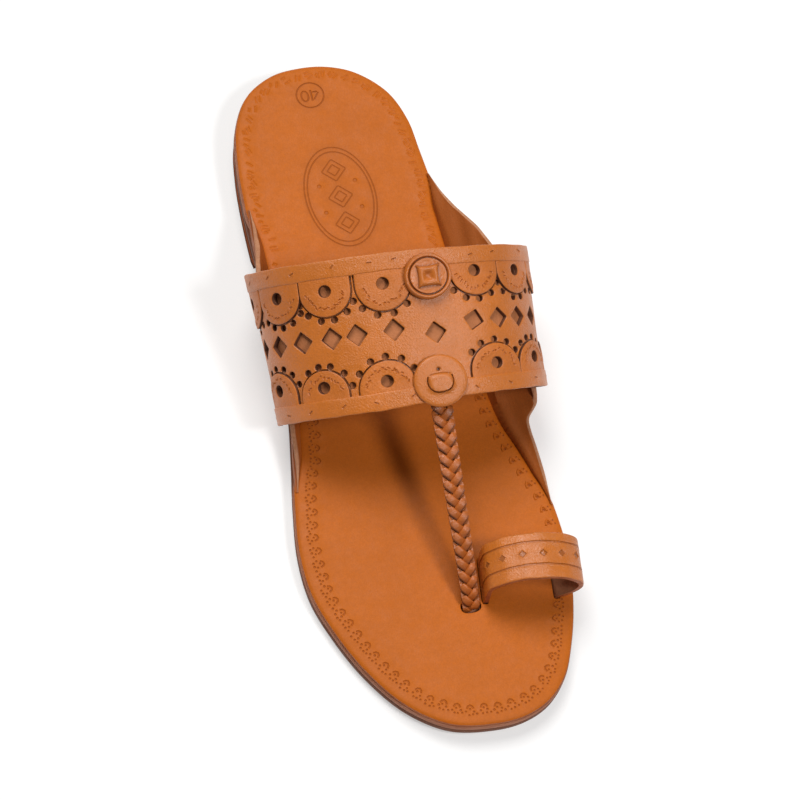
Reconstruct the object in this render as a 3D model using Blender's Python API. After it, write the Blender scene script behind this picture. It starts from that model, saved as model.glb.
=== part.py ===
"""A kolhapuri sandal: the right shoe of a pair, standing empty on its sole.

The frame is in metres: +X to the big-toe side, +Y to the heel, +Z up, with the origin on the
floor under the middle of the shoe. Every strap lies on one form, the last over the instep,
which is a row of cross sections perpendicular to the slope of the instep.
"""
import bmesh
import bpy
import numpy as np
from math import cos, pi, radians, sin
from mathutils import Vector

# Sole, heel and footbed
SOLE_LENGTH = 0.264
SOLE_WIDTH = 0.096
SOLE_ACROSS = -0.0014
OUTSOLE_T = 0.0060
FOOTBED_T = 0.0026
FOOTBED_EDGE = 0.0004
HEEL_LIFT = 0.0080
HEEL_BREAST = 0.062
HEEL_INSET = 0.0012
SEAT_RAMP_ALONG = -0.010
SEAT_RAMP_LENGTH = 0.055
TOE_SPRING = 0.0025
SPRING_ALONG = 0.090
GAP = 0.0003

# The last over the instep
INSTEP_HEIGHT = 0.0678
INSTEP_ACROSS = 0.0087
INSTEP_ALONG = 0.0276
INSTEP_SLOPE = radians(21.3)
INSTEP_TURN = radians(3.6)
LATERAL_ROUNDNESS = 2.32
MEDIAL_ROUNDNESS = 2.11
FLARE = 1.35

# Instep band, with its pattern as shares of its length down the slope
BAND_LENGTH = 0.0546
BAND_T = 0.0020
RELIEF = 0.0010
BAND_FOOT = 0.0045
TRIM = 0.115 * BAND_LENGTH
DIAMOND_LENGTH = 0.147 * BAND_LENGTH
DIAMOND_WIDTH = 0.139 * BAND_LENGTH
DIAMOND_PITCH = 0.183 * BAND_LENGTH
CENTRE_DIAMOND_SHIFT = 0.055 * BAND_LENGTH
DIAMOND_SHIFT = -0.018 * BAND_LENGTH
SCALLOP_HOLE = 0.040 * BAND_LENGTH
FRONT_HOLE_SHIFT = 0.048 * BAND_LENGTH
DOT_RADIUS = 0.023 * BAND_LENGTH
DOT_CLEAR = 0.028 * BAND_LENGTH

# How far the band's edges leave their straight lines: the rear edge comes forward on the big-toe
# side, and the front edge runs further down on the little-toe side than on the other
REAR_TAPER = 0.048 * BAND_LENGTH
FRONT_BOW = 0.011 * BAND_LENGTH
FRONT_TAPER = 0.018 * BAND_LENGTH
REAR_TAPER_SPAN = (-0.22 * BAND_LENGTH, 0.80 * BAND_LENGTH)
FRONT_TAPER_SPAN = (-0.46 * BAND_LENGTH, 0.18 * BAND_LENGTH)

# Ears
EAR_T = 0.0024
EAR_SINK = 0.0009
FLANGE = 0.0070
EAR_CLEAR = 0.0060
EAR_BLEND = 0.0100

# Braid, post and toe loop
BRAID_WIDTH = 0.0078
BRAID_TOE_WIDTH = 0.0062
BRAID_T = 0.0024
BRAID_RELIEF = 0.0006
BRAID_PITCH = 0.0054
BRAID_LEAN = 0.9
BRAID_ROUNDING = 0.45
BRAID_SINK = 0.0007
BRAID_HIDDEN = 0.0080
BRAID_ACROSS = -0.0020
POST_ACROSS = 0.025 * SOLE_WIDTH
POST_ALONG = -0.329 * SOLE_LENGTH
LOOP_ACROSS = 0.266 * SOLE_WIDTH
LOOP_ALONG = -0.305 * SOLE_LENGTH
LOOP_TURN = radians(-7.5)
LOOP_WIDTH = 0.367 * SOLE_WIDTH
LOOP_HEIGHT = 0.0225
LOOP_STRAP = 0.0170
LOOP_T = 0.0019
LOOP_TUCK = 0.0074
LOOP_SHOULDER = 0.46
LOOP_ROUNDNESS = 1.00

# Ornaments on the band
DISC_RADIUS = 0.0093
DISC_ACROSS = -0.0020
DISC_FROM_FRONT = 0.0072
ROSETTE_RADIUS = 0.0086
ROSETTE_ACROSS = -0.0016
ROSETTE_FROM_REAR = 0.0102
KNOB_HEIGHT = 0.0022

# Closed outline of the sole, clockwise from the back of the heel by way of the little-toe side
# columns: across as a share of SOLE_WIDTH, along as a share of SOLE_LENGTH
SOLE_OUTLINE = (
    (-0.069, 0.500), (-0.189, 0.495), (-0.304, 0.470), (-0.374, 0.426), (-0.406, 0.370),
    (-0.421, 0.300), (-0.425, 0.200), (-0.427, 0.090), (-0.438, 0.000), (-0.469, -0.065),
    (-0.508, -0.135), (-0.536, -0.205), (-0.530, -0.268), (-0.484, -0.325), (-0.404, -0.390),
    (-0.289, -0.450), (-0.149, -0.488), (0.011, -0.500), (0.125, -0.498), (0.229, -0.483),
    (0.316, -0.452), (0.376, -0.407), (0.423, -0.355), (0.456, -0.290), (0.459, -0.240),
    (0.441, -0.170), (0.405, -0.120), (0.362, -0.070), (0.341, 0.000), (0.328, 0.090),
    (0.325, 0.190), (0.320, 0.270), (0.306, 0.340), (0.293, 0.391), (0.244, 0.439),
    (0.140, 0.478), (0.036, 0.495))

# Cross sections of the last, rear to front
# columns: place as a share of BAND_LENGTH, lateral reach, medial reach, drop to the widest line,
# each as a share of INSTEP_HEIGHT
FORM_SECTIONS = (
    (-0.60, 0.800, 0.585, 0.500),
    (0.00, 0.856, 0.572, 0.500),
    (1.00, 0.787, 0.580, 0.480),
    (1.30, 0.787, 0.584, 0.480),
    (1.90, 0.840, 0.610, 0.480))

# Rim of each ear, rear to front
# columns: place as a share of BAND_LENGTH, rise above the footbed as a share of EAR_HEIGHT
EAR_HEIGHT = 0.0215
EAR_RIMS = {
    "ear_medial": (
        (-0.56, 0.02), (-0.42, 0.13), (-0.31, 0.29), (-0.15, 0.62), (0.00, 0.80), (0.25, 0.97),
        (0.75, 1.00), (1.00, 0.97), (1.09, 0.66), (1.18, 0.36), (1.28, 0.28), (1.46, 0.23),
        (1.65, 0.16), (1.83, 0.08), (2.00, 0.02)),
    "ear_lateral": (
        (-0.46, 0.02), (-0.38, 0.18), (-0.24, 0.42), (-0.06, 0.72), (0.10, 0.87), (0.35, 0.95),
        (0.70, 0.80), (0.90, 0.47), (1.02, 0.31), (1.15, 0.15), (1.32, 0.08), (1.54, 0.02))}

# Scallops of the rear row, which open towards the toe, and of the front row, which open back
# columns: place across from the crown, place down the slope, radius, each as a share of
# BAND_LENGTH, then the degrees from its tip of each dot punched round it
REAR_SCALLOPS = (
    (-1.345, 0.195, 0.163, (-43, -15, 11, 40)),
    (-1.015, 0.195, 0.163, (-43, -21, 3, 28, 53)),
    (-0.683, 0.195, 0.163, (-69, -43, -15, 11, 40, 63)),
    (-0.315, 0.195, 0.175, (-46, -16, 14, 43)),
    (0.282, 0.168, 0.165, (-50, -22, 5, 34, 62)),
    (0.613, 0.178, 0.163, (-41, -10, 15, 42)),
    (0.945, 0.178, 0.163, (-41, -10, 15, 42)),
    (1.277, 0.178, 0.163, (-41, -10, 15, 42)))
FRONT_SCALLOPS = (
    (-1.126, 0.830, 0.163, (-29, -5, 20, 44, 68)),
    (-0.769, 0.853, 0.157, (-33, -8, 17, 48, 78)),
    (-0.366, 0.866, 0.178, (-55, -26, 2, 31, 60)),
    (0.357, 0.853, 0.180, (-50, -26, 2, 29, 54)),
    (0.700, 0.836, 0.160, (-38, -15, 8, 34, 60)),
    (1.045, 0.836, 0.163, (-40, -12, 14, 40)))

# Places of the diamonds across from the crown, in DIAMOND_PITCH
DIAMONDS = (-7.85, -6.83, -5.73, -4.70, -3.62, -2.73, -1.44, 1.41, 2.40, 3.35, 4.37, 5.37, 6.37)

# Turned profiles of the two ornaments, from the band up
# columns: reach as a share of the radius, height as a share of KNOB_HEIGHT
DISC_PROFILE = ((1.00, 0.00), (1.00, 0.73))
DISC_KNOB = ((1.00, 0.73), (0.93, 1.33), (0.55, 1.73))
ROSETTE_PROFILE = ((1.00, 0.00), (1.00, 0.55), (0.90, 0.91), (0.78, 0.64), (0.72, 1.27), (0.62, 1.36))
ROSETTE_KNOT = ((1.00, 1.09), (0.80, 2.09))

TAN = (0.58, 0.235, 0.075, 1.0)
DARK_TAN = (0.36, 0.125, 0.045, 1.0)
EDGE_BROWN = (0.13, 0.055, 0.045, 1.0)


def smooth_step(share):
    """Rise from 0 to 1 with level ends."""
    share = np.clip(share, 0.0, 1.0)
    return share * share * (3 - 2 * share)


def closed_curve(rows, per_span):
    """Points of a smooth closed curve through the rows, with chord-weighted tangents."""
    points = np.array(rows, float)
    count = len(points)
    curve = []
    for i in range(count):
        before, start, end, after = (points[(i + k) % count] for k in (-1, 0, 1, 2))
        gaps = [np.linalg.norm(b - a) ** 0.5 for a, b in ((before, start), (start, end), (end, after))]
        leave = gaps[1] * ((end - start) / gaps[1] - (end - before) / (gaps[0] + gaps[1])
                           + (start - before) / gaps[0])
        arrive = gaps[1] * ((end - start) / gaps[1] - (after - start) / (gaps[1] + gaps[2])
                            + (after - end) / gaps[2])
        for j in range(per_span):
            u = j / per_span
            curve.append((2 * u**3 - 3 * u**2 + 1) * start + (u**3 - 2 * u**2 + u) * leave
                         + (3 * u**2 - 2 * u**3) * end + (u**3 - u**2) * arrive)
    return np.array(curve)


def split_sides(outline):
    """The little-toe side (-1) and big-toe side (1) of the outline, each from toe to heel."""
    heel, toe, count = outline[:, 1].argmax(), outline[:, 1].argmin(), len(outline)
    lateral = np.array([outline[(heel + i) % count] for i in range((toe - heel) % count + 1)])
    medial = np.array([outline[(toe + i) % count] for i in range((heel - toe) % count + 1)])
    return {-1: lateral[::-1], 1: medial}


SOLE_POINTS = [(a * SOLE_WIDTH + SOLE_ACROSS, b * SOLE_LENGTH) for a, b in SOLE_OUTLINE]
OUTLINE = closed_curve(SOLE_POINTS, 3)
SIDES = split_sides(closed_curve(SOLE_POINTS, 8))


def edge_x(side, y):
    """Where the sole's edge lies across, at a place along the shoe."""
    return np.interp(y, SIDES[side][:, 1], SIDES[side][:, 0])


def lift(y):
    """Height of the outsole's underside: level forefoot, raised seat, slight toe spring."""
    seat = HEEL_LIFT * smooth_step((np.asarray(y) - SEAT_RAMP_ALONG) / SEAT_RAMP_LENGTH)
    spring_length = SOLE_LENGTH / 2 - SPRING_ALONG
    toe = TOE_SPRING * np.clip((-np.asarray(y) - SPRING_ALONG) / spring_length, 0, 1) ** 2
    return seat + toe


def footbed_top(y):
    """Height that the foot stands on."""
    return lift(y) + OUTSOLE_T + GAP + FOOTBED_T


def to_form(x, y, z):
    """World place to the form's own: across, along its slope, and out from its crown line."""
    dx, dy, dz = x - INSTEP_ACROSS, y - INSTEP_ALONG, z - INSTEP_HEIGHT
    across = dx * cos(INSTEP_TURN) - dy * sin(INSTEP_TURN)
    back = dx * sin(INSTEP_TURN) + dy * cos(INSTEP_TURN)
    along = -back * cos(INSTEP_SLOPE) - dz * sin(INSTEP_SLOPE)
    out = -back * sin(INSTEP_SLOPE) + dz * cos(INSTEP_SLOPE)
    return across, along, out


def from_form(across, along, out):
    """The form's own place to world, as rows of x, y, z."""
    back = -along * cos(INSTEP_SLOPE) - out * sin(INSTEP_SLOPE)
    up = -along * sin(INSTEP_SLOPE) + out * cos(INSTEP_SLOPE)
    x = INSTEP_ACROSS + across * cos(INSTEP_TURN) + back * sin(INSTEP_TURN)
    y = INSTEP_ALONG - across * sin(INSTEP_TURN) + back * cos(INSTEP_TURN)
    return np.stack([x, y, INSTEP_HEIGHT + up], -1)


class Form:
    """The last over the instep, unrolled: s runs round it from the crown, t down its slope."""

    S_STEP = SOLE_LENGTH / 528
    T_STEP = SOLE_LENGTH / 132

    def __init__(self):
        self.s = np.arange(-260, 261) * self.S_STEP
        self.t = np.arange(-30, 64) * self.T_STEP
        self.feet = {side: self.foot_line(side) for side in (-1, 1)}
        shape = (len(self.t), len(self.s))
        self.across, self.out = np.zeros(shape), np.zeros(shape)
        self.foot_arc = {side: np.zeros(len(self.t)) for side in (-1, 1)}
        for i, t in enumerate(self.t):
            for side in (-1, 1):
                arc, across, out = self.half_section(side, t)
                here = self.s * side >= 0
                self.across[i, here] = np.interp(np.abs(self.s[here]), arc, across)
                self.out[i, here] = np.interp(np.abs(self.s[here]), arc, out)
                self.foot_arc[side][i] = arc[-2]
        turn_across, turn_out = -np.gradient(self.out, axis=1), np.gradient(self.across, axis=1)
        size = np.maximum(np.hypot(turn_across, turn_out), 1e-9)
        self.normal_across, self.normal_out = turn_across / size, turn_out / size

    @staticmethod
    def foot_line(side):
        """Where the form meets the sole's edge, in its own terms, ordered along the slope."""
        y = np.linspace(-0.45, 0.42, 200) * SOLE_LENGTH
        across, along, out = to_form(edge_x(side, y), y, footbed_top(y))
        order = np.argsort(along)
        return along[order], across[order], out[order], y[order]

    def foot_y(self, side, t):
        """How far along the shoe the section's foot lies."""
        return np.interp(t, self.feet[side][0], self.feet[side][3])

    def half_section(self, side, t):
        """One side of a section from crown to foot and on below: arc length, across, out."""
        table = np.array(FORM_SECTIONS)
        lateral, medial, drop = (INSTEP_HEIGHT * np.interp(t / BAND_LENGTH, table[:, 0], table[:, k])
                                 for k in (1, 2, 3))
        reach = lateral if side < 0 else medial
        power = 2 / (LATERAL_ROUNDNESS if side < 0 else MEDIAL_ROUNDNESS)
        foot_across = np.interp(t, self.feet[side][0], self.feet[side][1])
        foot_out = np.interp(t, self.feet[side][0], self.feet[side][2])
        drop = min(drop, -0.8 * foot_out)
        turn = np.linspace(0, pi / 2, 60)
        fall = np.linspace(0, 1, 30)[1:]
        widest = side * reach
        across = np.concatenate([widest * np.sin(turn) ** power,
                                 widest + (foot_across - widest) * fall ** FLARE])
        out = np.concatenate([drop * (np.cos(turn) ** power - 1), -drop + (foot_out + drop) * fall])
        across = np.append(across, across[-1])
        out = np.append(out, out[-1] - INSTEP_HEIGHT)
        arc = np.concatenate([[0], np.cumsum(np.hypot(np.diff(across), np.diff(out)))])
        return arc, across, out

    def blend(self, grid, s, t):
        """Bilinear reading of a grid."""
        a = np.clip((s - self.s[0]) / self.S_STEP, 0, len(self.s) - 1.001)
        b = np.clip((t - self.t[0]) / self.T_STEP, 0, len(self.t) - 1.001)
        i, j = a.astype(int), b.astype(int)
        a, b = a - i, b - j
        near = grid[j, i] * (1 - a) + grid[j, i + 1] * a
        far = grid[j + 1, i] * (1 - a) + grid[j + 1, i + 1] * a
        return near * (1 - b) + far * b

    def point(self, s, t, height):
        """World points at arc s, slope t and a height off the form."""
        s, t, height = np.broadcast_arrays(*(np.asarray(v, float) for v in (s, t, height)))
        across = self.blend(self.across, s, t) + height * self.blend(self.normal_across, s, t)
        out = self.blend(self.out, s, t) + height * self.blend(self.normal_out, s, t)
        return from_form(across, t, out)

    def foot(self, side, t):
        """Arc length at the foot, signed by side."""
        return side * np.interp(t, self.t, self.foot_arc[side])


FORM = Form()


def clear_scene():
    for item in list(bpy.data.objects):
        bpy.data.objects.remove(item, do_unlink=True)


def leather(name, colour, roughness):
    """A plain leather finish."""
    material = bpy.data.materials.new(name)
    material.use_nodes = True
    shader = material.node_tree.nodes["Principled BSDF"]
    shader.inputs["Base Color"].default_value = colour
    shader.inputs["Roughness"].default_value = roughness
    shader.inputs["Metallic"].default_value = 0.0
    return material


def add_object(name, bm, colour, roughness=0.5):
    """Turn a bmesh into a named object with its own material."""
    bmesh.ops.recalc_face_normals(bm, faces=bm.faces)
    if bm.calc_volume(signed=True) < 0:
        bmesh.ops.reverse_faces(bm, faces=bm.faces)
    mesh = bpy.data.meshes.new(name)
    bm.to_mesh(mesh)
    bm.free()
    mesh.shade_smooth()
    mesh.set_sharp_from_angle(angle=radians(35))
    item = bpy.data.objects.new(name, mesh)
    bpy.context.scene.collection.objects.link(item)
    mesh.materials.append(leather(name, colour, roughness))
    return item


def prism(outline, low, high):
    """A closed upright prism on an outline."""
    bm = bmesh.new()
    bottom = [bm.verts.new((x, y, low)) for x, y in outline]
    top = [bm.verts.new((x, y, high)) for x, y in outline]
    bm.faces.new(bottom[::-1])
    bm.faces.new(top)
    for i, corner in enumerate(bottom):
        j = (i + 1) % len(bottom)
        bm.faces.new((corner, bottom[j], top[j], top[i]))
    bmesh.ops.recalc_face_normals(bm, faces=bm.faces)
    return bm


def joined(prisms):
    """One mesh that holds several closed prisms, each (outline, low, high)."""
    whole = bmesh.new()
    for outline, low, high in prisms:
        part = prism(outline, low, high)
        mesh = bpy.data.meshes.new("prism")
        part.to_mesh(mesh)
        part.free()
        whole.from_mesh(mesh)
        bpy.data.meshes.remove(mesh)
    return whole


def combine(bm, other, operation):
    """Exact Boolean of two bmeshes; both are used up."""
    items = []
    for name, source in (("body", bm), ("tool", other)):
        mesh = bpy.data.meshes.new(name)
        source.to_mesh(mesh)
        source.free()
        items.append(bpy.data.objects.new(name, mesh))
        bpy.context.scene.collection.objects.link(items[-1])
    modifier = items[0].modifiers.new(operation, "BOOLEAN")
    modifier.operation = operation
    modifier.solver = "EXACT"
    modifier.object = items[1]
    bpy.context.view_layer.update()
    result = bmesh.new()
    result.from_object(items[0], bpy.context.evaluated_depsgraph_get())
    for item in items:
        bpy.data.objects.remove(item, do_unlink=True)
    return result


def slice_across(bm, axis, places):
    """Cut every face at planes across an axis, so that the solid can bend there."""
    normal = [0.0, 0.0, 0.0]
    normal[axis] = 1.0
    for place in places:
        point = [0.0, 0.0, 0.0]
        point[axis] = place
        geometry = bm.verts[:] + bm.edges[:] + bm.faces[:]
        bmesh.ops.bisect_plane(bm, geom=geometry, plane_co=point, plane_no=normal, dist=1e-7)


def bend(bm, shape):
    """Move every vertex by a function of arrays x, y, z that gives world points."""
    bmesh.ops.triangulate(bm, faces=bm.faces)
    flat = np.array([vertex.co for vertex in bm.verts])
    for vertex, place in zip(bm.verts, shape(flat[:, 0], flat[:, 1], flat[:, 2])):
        vertex.co = Vector(place)


def loft(rings):
    """A closed solid through rings of points, with its two ends filled."""
    bm = bmesh.new()
    rows = [[bm.verts.new(point) for point in ring] for ring in rings]
    for first, second in zip(rows, rows[1:]):
        for i, corner in enumerate(first):
            j = (i + 1) % len(first)
            bm.faces.new((corner, first[j], second[j], second[i]))
    bm.faces.new(rows[0][::-1])
    bm.faces.new(rows[-1])
    bmesh.ops.triangulate(bm, faces=[face for face in bm.faces if len(face.verts) > 4])
    return bm


def inset_outline(outline, depth):
    """The outline moved inwards by a depth for each point."""
    ahead, behind = np.roll(outline, -1, axis=0), np.roll(outline, 1, axis=0)
    run = ahead - behind
    run /= np.linalg.norm(run, axis=1)[:, None]
    inward = np.stack([-run[:, 1], run[:, 0]], 1)
    return outline + inward * np.reshape(depth, (-1, 1))


def ear_span(name):
    """Side of an ear and where its foot starts and ends along the shoe, rear then front."""
    side = 1 if name == "ear_medial" else -1
    rim = EAR_RIMS[name]
    return side, FORM.foot_y(side, rim[0][0] * BAND_LENGTH), FORM.foot_y(side, rim[-1][0] * BAND_LENGTH)


def ear_pocket(name):
    """Outline of the recess in the outsole that takes an ear's flange."""
    side, rear, front = ear_span(name)
    places = np.linspace(front - 2 * GAP, rear + 2 * GAP, 25)
    inner = [(edge_x(side, y) - side * (EAR_T + FLANGE + 2 * GAP), y) for y in places]
    outer = [(edge_x(side, y) + side * 2 * EAR_T, y) for y in places]
    return inner + outer[::-1]


def sole_cuts():
    """Places where the layers of the sole bend: up to the seat and up to the toe."""
    seat = np.linspace(SEAT_RAMP_ALONG, SEAT_RAMP_ALONG + SEAT_RAMP_LENGTH, 11)
    toe = np.linspace(-SOLE_LENGTH / 2, -SPRING_ALONG, 7)[1:]
    return np.concatenate([toe, seat])


def make_outsole():
    """The thick sole, with a recess for the flange of each ear."""
    body = prism(OUTLINE, 0.0, OUTSOLE_T)
    pockets = [(ear_pocket(name), OUTSOLE_T - EAR_T - 1.5 * GAP, 2 * OUTSOLE_T) for name in EAR_RIMS]
    body = combine(body, joined(pockets), "DIFFERENCE")
    slice_across(body, 1, sole_cuts())
    bend(body, lambda x, y, z: np.stack([x, y, z + lift(y)], -1))
    add_object("outsole", body, EDGE_BROWN, 0.55)


def footbed_outline():
    """The sole's outline, drawn in where an ear stands beside the footbed."""
    depth = np.full(len(OUTLINE), FOOTBED_EDGE)
    for name in EAR_RIMS:
        side, rear, front = ear_span(name)
        beside = OUTLINE[:, 0] * side > 0
        room = smooth_step((rear + EAR_CLEAR + EAR_BLEND - OUTLINE[:, 1]) / EAR_BLEND)
        room *= smooth_step((OUTLINE[:, 1] - front + EAR_CLEAR + EAR_BLEND) / EAR_BLEND)
        depth += np.where(beside, room * (EAR_T + 2 * GAP - FOOTBED_EDGE), 0.0)
    return inset_outline(OUTLINE, depth)


def slot(centre, width, length, turn):
    """A turned rectangle."""
    corners = []
    for a, b in ((-1, -1), (1, -1), (1, 1), (-1, 1)):
        x, y = a * width / 2, b * length / 2
        corners.append((centre[0] + x * cos(turn) - y * sin(turn), centre[1] + x * sin(turn) + y * cos(turn)))
    return corners


def post_slot():
    """Hole that the braid goes down through."""
    return slot((POST_ACROSS, POST_ALONG), BRAID_TOE_WIDTH + 4 * GAP, BRAID_T + 2 * BRAID_RELIEF + 4 * GAP, 0)


def loop_leg(side):
    """Middle of a toe-loop leg where it passes the footbed."""
    reach = side * (LOOP_WIDTH / 2 - LOOP_T / 2) - (LOOP_TUCK if side > 0 else 0.0)
    return LOOP_ACROSS + reach * cos(LOOP_TURN), LOOP_ALONG + reach * sin(LOOP_TURN)


def make_footbed():
    """The insole, with its three slots."""
    body = prism(footbed_outline(), 0.0, FOOTBED_T)
    slots = [post_slot()] + [slot(loop_leg(side), LOOP_T + 2 * GAP, LOOP_STRAP + 2 * GAP, LOOP_TURN)
                             for side in (-1, 1)]
    body = combine(body, joined([(outline, -FOOTBED_T, 2 * FOOTBED_T) for outline in slots]), "DIFFERENCE")
    slice_across(body, 1, sole_cuts())
    bend(body, lambda x, y, z: np.stack([x, y, z + lift(y) + OUTSOLE_T + GAP], -1))
    add_object("footbed", body, TAN)


def make_heel():
    """The stacked lift under the seat, a little inside the sole's edge."""
    inner = inset_outline(OUTLINE, np.full(len(OUTLINE), HEEL_INSET))
    seat = [(-SOLE_WIDTH, HEEL_BREAST), (SOLE_WIDTH, HEEL_BREAST),
            (SOLE_WIDTH, SOLE_LENGTH), (-SOLE_WIDTH, SOLE_LENGTH)]
    body = prism(inner, 0.0, HEEL_LIFT - GAP)
    body = combine(body, prism(seat, -HEEL_LIFT, 2 * HEEL_LIFT), "INTERSECT")
    add_object("heel", body, EDGE_BROWN, 0.6)


def ear_ring(side, t, rise):
    """One section of an ear: flange, bend and wall up to the rim."""
    foot = FORM.foot(side, t)
    y = FORM.foot_y(side, t)
    edge = edge_x(side, y)
    seat = lift(y) + OUTSOLE_T
    inner = edge - side * (EAR_T + GAP)
    outer = edge - side * GAP
    climb = np.array([0.1, 0.3, 0.55, 0.8, 1.0]) * rise
    wall_out = FORM.point(foot - side * climb, t, -EAR_SINK)
    wall_in = FORM.point(foot - side * climb, t, -EAR_SINK - EAR_T)
    wall_in[:, 2] = np.maximum(wall_in[:, 2], footbed_top(y))
    ring = [(inner - side * FLANGE, y, seat - EAR_T), (outer, y, seat - EAR_T), (outer, y, footbed_top(y))]
    ring += [tuple(point) for point in wall_out]
    ring += [tuple(point) for point in wall_in[::-1]]
    ring += [(inner, y, footbed_top(y)), (inner, y, seat), (inner - side * FLANGE, y, seat)]
    return ring


def make_ear(name):
    """A side flap: its flange lies under the footbed and its wall leans out to the band."""
    side = ear_span(name)[0]
    rim = np.array(EAR_RIMS[name])
    places = np.unique(np.concatenate([rim[:, 0], np.linspace(rim[0, 0], rim[-1, 0], 16)]))
    rings = [ear_ring(side, place * BAND_LENGTH, EAR_HEIGHT * np.interp(place, rim[:, 0], rim[:, 1]))
             for place in places]
    for end in (0, -1):
        rings[end] = [(x, rings[end][0][1], z) for x, _, z in rings[end]]
    add_object(name, loft(rings), DARK_TAN)


def arc_points(centre, radius, start, end, count):
    """Points on an arc in the plane of the band's pattern."""
    turns = np.linspace(start, end, count)
    return [(centre[0] + radius * cos(turn), centre[1] + radius * sin(turn)) for turn in turns]


def round_points(centre, radius, count):
    """Points all the way round a circle in the plane of the band's pattern."""
    return arc_points(centre, radius, 0.0, 2 * pi * (count - 1) / count, count)


def band_end(side, t):
    """Where the band stops above the footbed."""
    return FORM.foot(side, t) - side * BAND_FOOT


def band_outline(low, high):
    """The strip of the band between two places down the slope."""
    return [(band_end(-1, low), low), (band_end(1, low), low),
            (band_end(1, high), high), (band_end(-1, high), high)]


def band_point(s, t, height):
    """World place of a point of the band's pattern, with its edges drawn off their straight lines."""
    share = t / BAND_LENGTH
    rear = np.clip((s - REAR_TAPER_SPAN[0]) / (REAR_TAPER_SPAN[1] - REAR_TAPER_SPAN[0]), 0, 1)
    front = smooth_step((s - FRONT_TAPER_SPAN[0]) / (FRONT_TAPER_SPAN[1] - FRONT_TAPER_SPAN[0]))
    shift = REAR_TAPER * rear * (1 - share) + (FRONT_BOW - (FRONT_BOW + FRONT_TAPER) * front) * share
    return FORM.point(s, t + shift, height + GAP / 2)


def scallops():
    """Each scallop: centre, radius, the way it opens (1 towards the toe) and its dots."""
    rows = [(row, 1) for row in REAR_SCALLOPS] + [(row, -1) for row in FRONT_SCALLOPS]
    return [(s * BAND_LENGTH, t * BAND_LENGTH, radius * BAND_LENGTH, way, dots)
            for (s, t, radius, dots), way in rows]


def scallop_outline(s, t, radius, way):
    """A raised lobe that grows out of a trim."""
    root = TRIM / 2 if way > 0 else BAND_LENGTH - TRIM / 2
    arc = arc_points((s, t), radius, 0.0, way * pi, 11)
    return [(s + radius, root)] + arc + [(s - radius, root)]


def band_cutters():
    """Everything punched through the band: diamonds, scallop holes and dots."""
    low, high = -BAND_T, 3 * BAND_T
    cutters = []
    middle = BAND_LENGTH / 2
    rows = [(place, middle) for place in DIAMONDS] + [(0.0, middle + CENTRE_DIAMOND_SHIFT)]
    for place, t in rows:
        s = place * DIAMOND_PITCH + DIAMOND_SHIFT
        cutters.append([(s + DIAMOND_WIDTH / 2, t), (s, t + DIAMOND_LENGTH / 2),
                        (s - DIAMOND_WIDTH / 2, t), (s, t - DIAMOND_LENGTH / 2)])
    for s, t, radius, way, dots in scallops():
        hole = t if way > 0 else t - FRONT_HOLE_SHIFT
        cutters.append(round_points((s, hole), SCALLOP_HOLE, 8))
        for turn in dots:
            reach = radius + DOT_CLEAR
            dot = (s + reach * sin(radians(turn)), t + way * reach * cos(radians(turn)))
            cutters.append(round_points(dot, DOT_RADIUS, 6))
    return [(outline, low, high) for outline in cutters]


def make_band():
    """The pierced instep band, built flat and then wrapped over the form."""
    body = prism(band_outline(0.0, BAND_LENGTH), 0.0, BAND_T)
    raised = [(band_outline(0.0, TRIM), BAND_T / 2, BAND_T + RELIEF),
              (band_outline(BAND_LENGTH - TRIM, BAND_LENGTH), BAND_T / 2, BAND_T + RELIEF)]
    for outline, low, high in raised:
        body = combine(body, prism(outline, low, high), "UNION")
    for s, t, radius, way, _ in scallops():
        lobe = prism(scallop_outline(s, t, radius, way), BAND_T / 2, BAND_T + RELIEF)
        body = combine(body, lobe, "UNION")
    body = combine(body, joined(band_cutters()), "DIFFERENCE")
    ends = [band_end(-1, 0.0), band_end(1, 0.0)]
    slice_across(body, 0, np.linspace(ends[0], ends[1], 33)[1:-1])
    slice_across(body, 1, BAND_LENGTH * np.array([0.25, 0.5, 0.75]))
    bend(body, band_point)
    return body


def braid_path():
    """Middle line of the braid from under the band to below the footbed, evenly spaced."""
    start = FORM.point(BRAID_ACROSS, BAND_LENGTH - BRAID_HIDDEN, -BRAID_SINK)
    leave = FORM.point(BRAID_ACROSS, BAND_LENGTH + BRAID_SINK, -BRAID_SINK)
    hole = np.array([POST_ACROSS, POST_ALONG, footbed_top(POST_ALONG)])
    end = np.array([POST_ACROSS, POST_ALONG, lift(POST_ALONG) + OUTSOLE_T + GAP])
    run = leave - start
    run /= np.linalg.norm(run)
    reach = np.linalg.norm(hole - leave)
    u = np.linspace(0, 1, 60)[:, None]
    leave_pull = leave + run * reach * 0.40
    hole_pull = hole + np.array([-0.02, 0.55, 0.85]) * reach * 0.20
    curve = ((1 - u)**3 * leave + 3 * (1 - u)**2 * u * leave_pull + 3 * (1 - u) * u**2 * hole_pull
             + u**3 * hole)
    route = np.vstack([start, curve, end])
    arc = np.concatenate([[0], np.cumsum(np.linalg.norm(np.diff(route, axis=0), axis=1))])
    count = int(round(arc[-1] / BRAID_PITCH)) * 4 + 1
    even = np.linspace(0, arc[-1], count)
    return np.stack([np.interp(even, arc, route[:, k]) for k in range(3)], -1), even


def braid_relief(u, arc):
    """Height of the strands over the flat strap: u from -1 to 1 across, chevrons along."""
    phase = arc / BRAID_PITCH + BRAID_LEAN * np.abs(u) + np.where(u > 0, 0.5, 0.0)
    return BRAID_RELIEF * np.abs(np.sin(pi * phase)) ** 0.7


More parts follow.
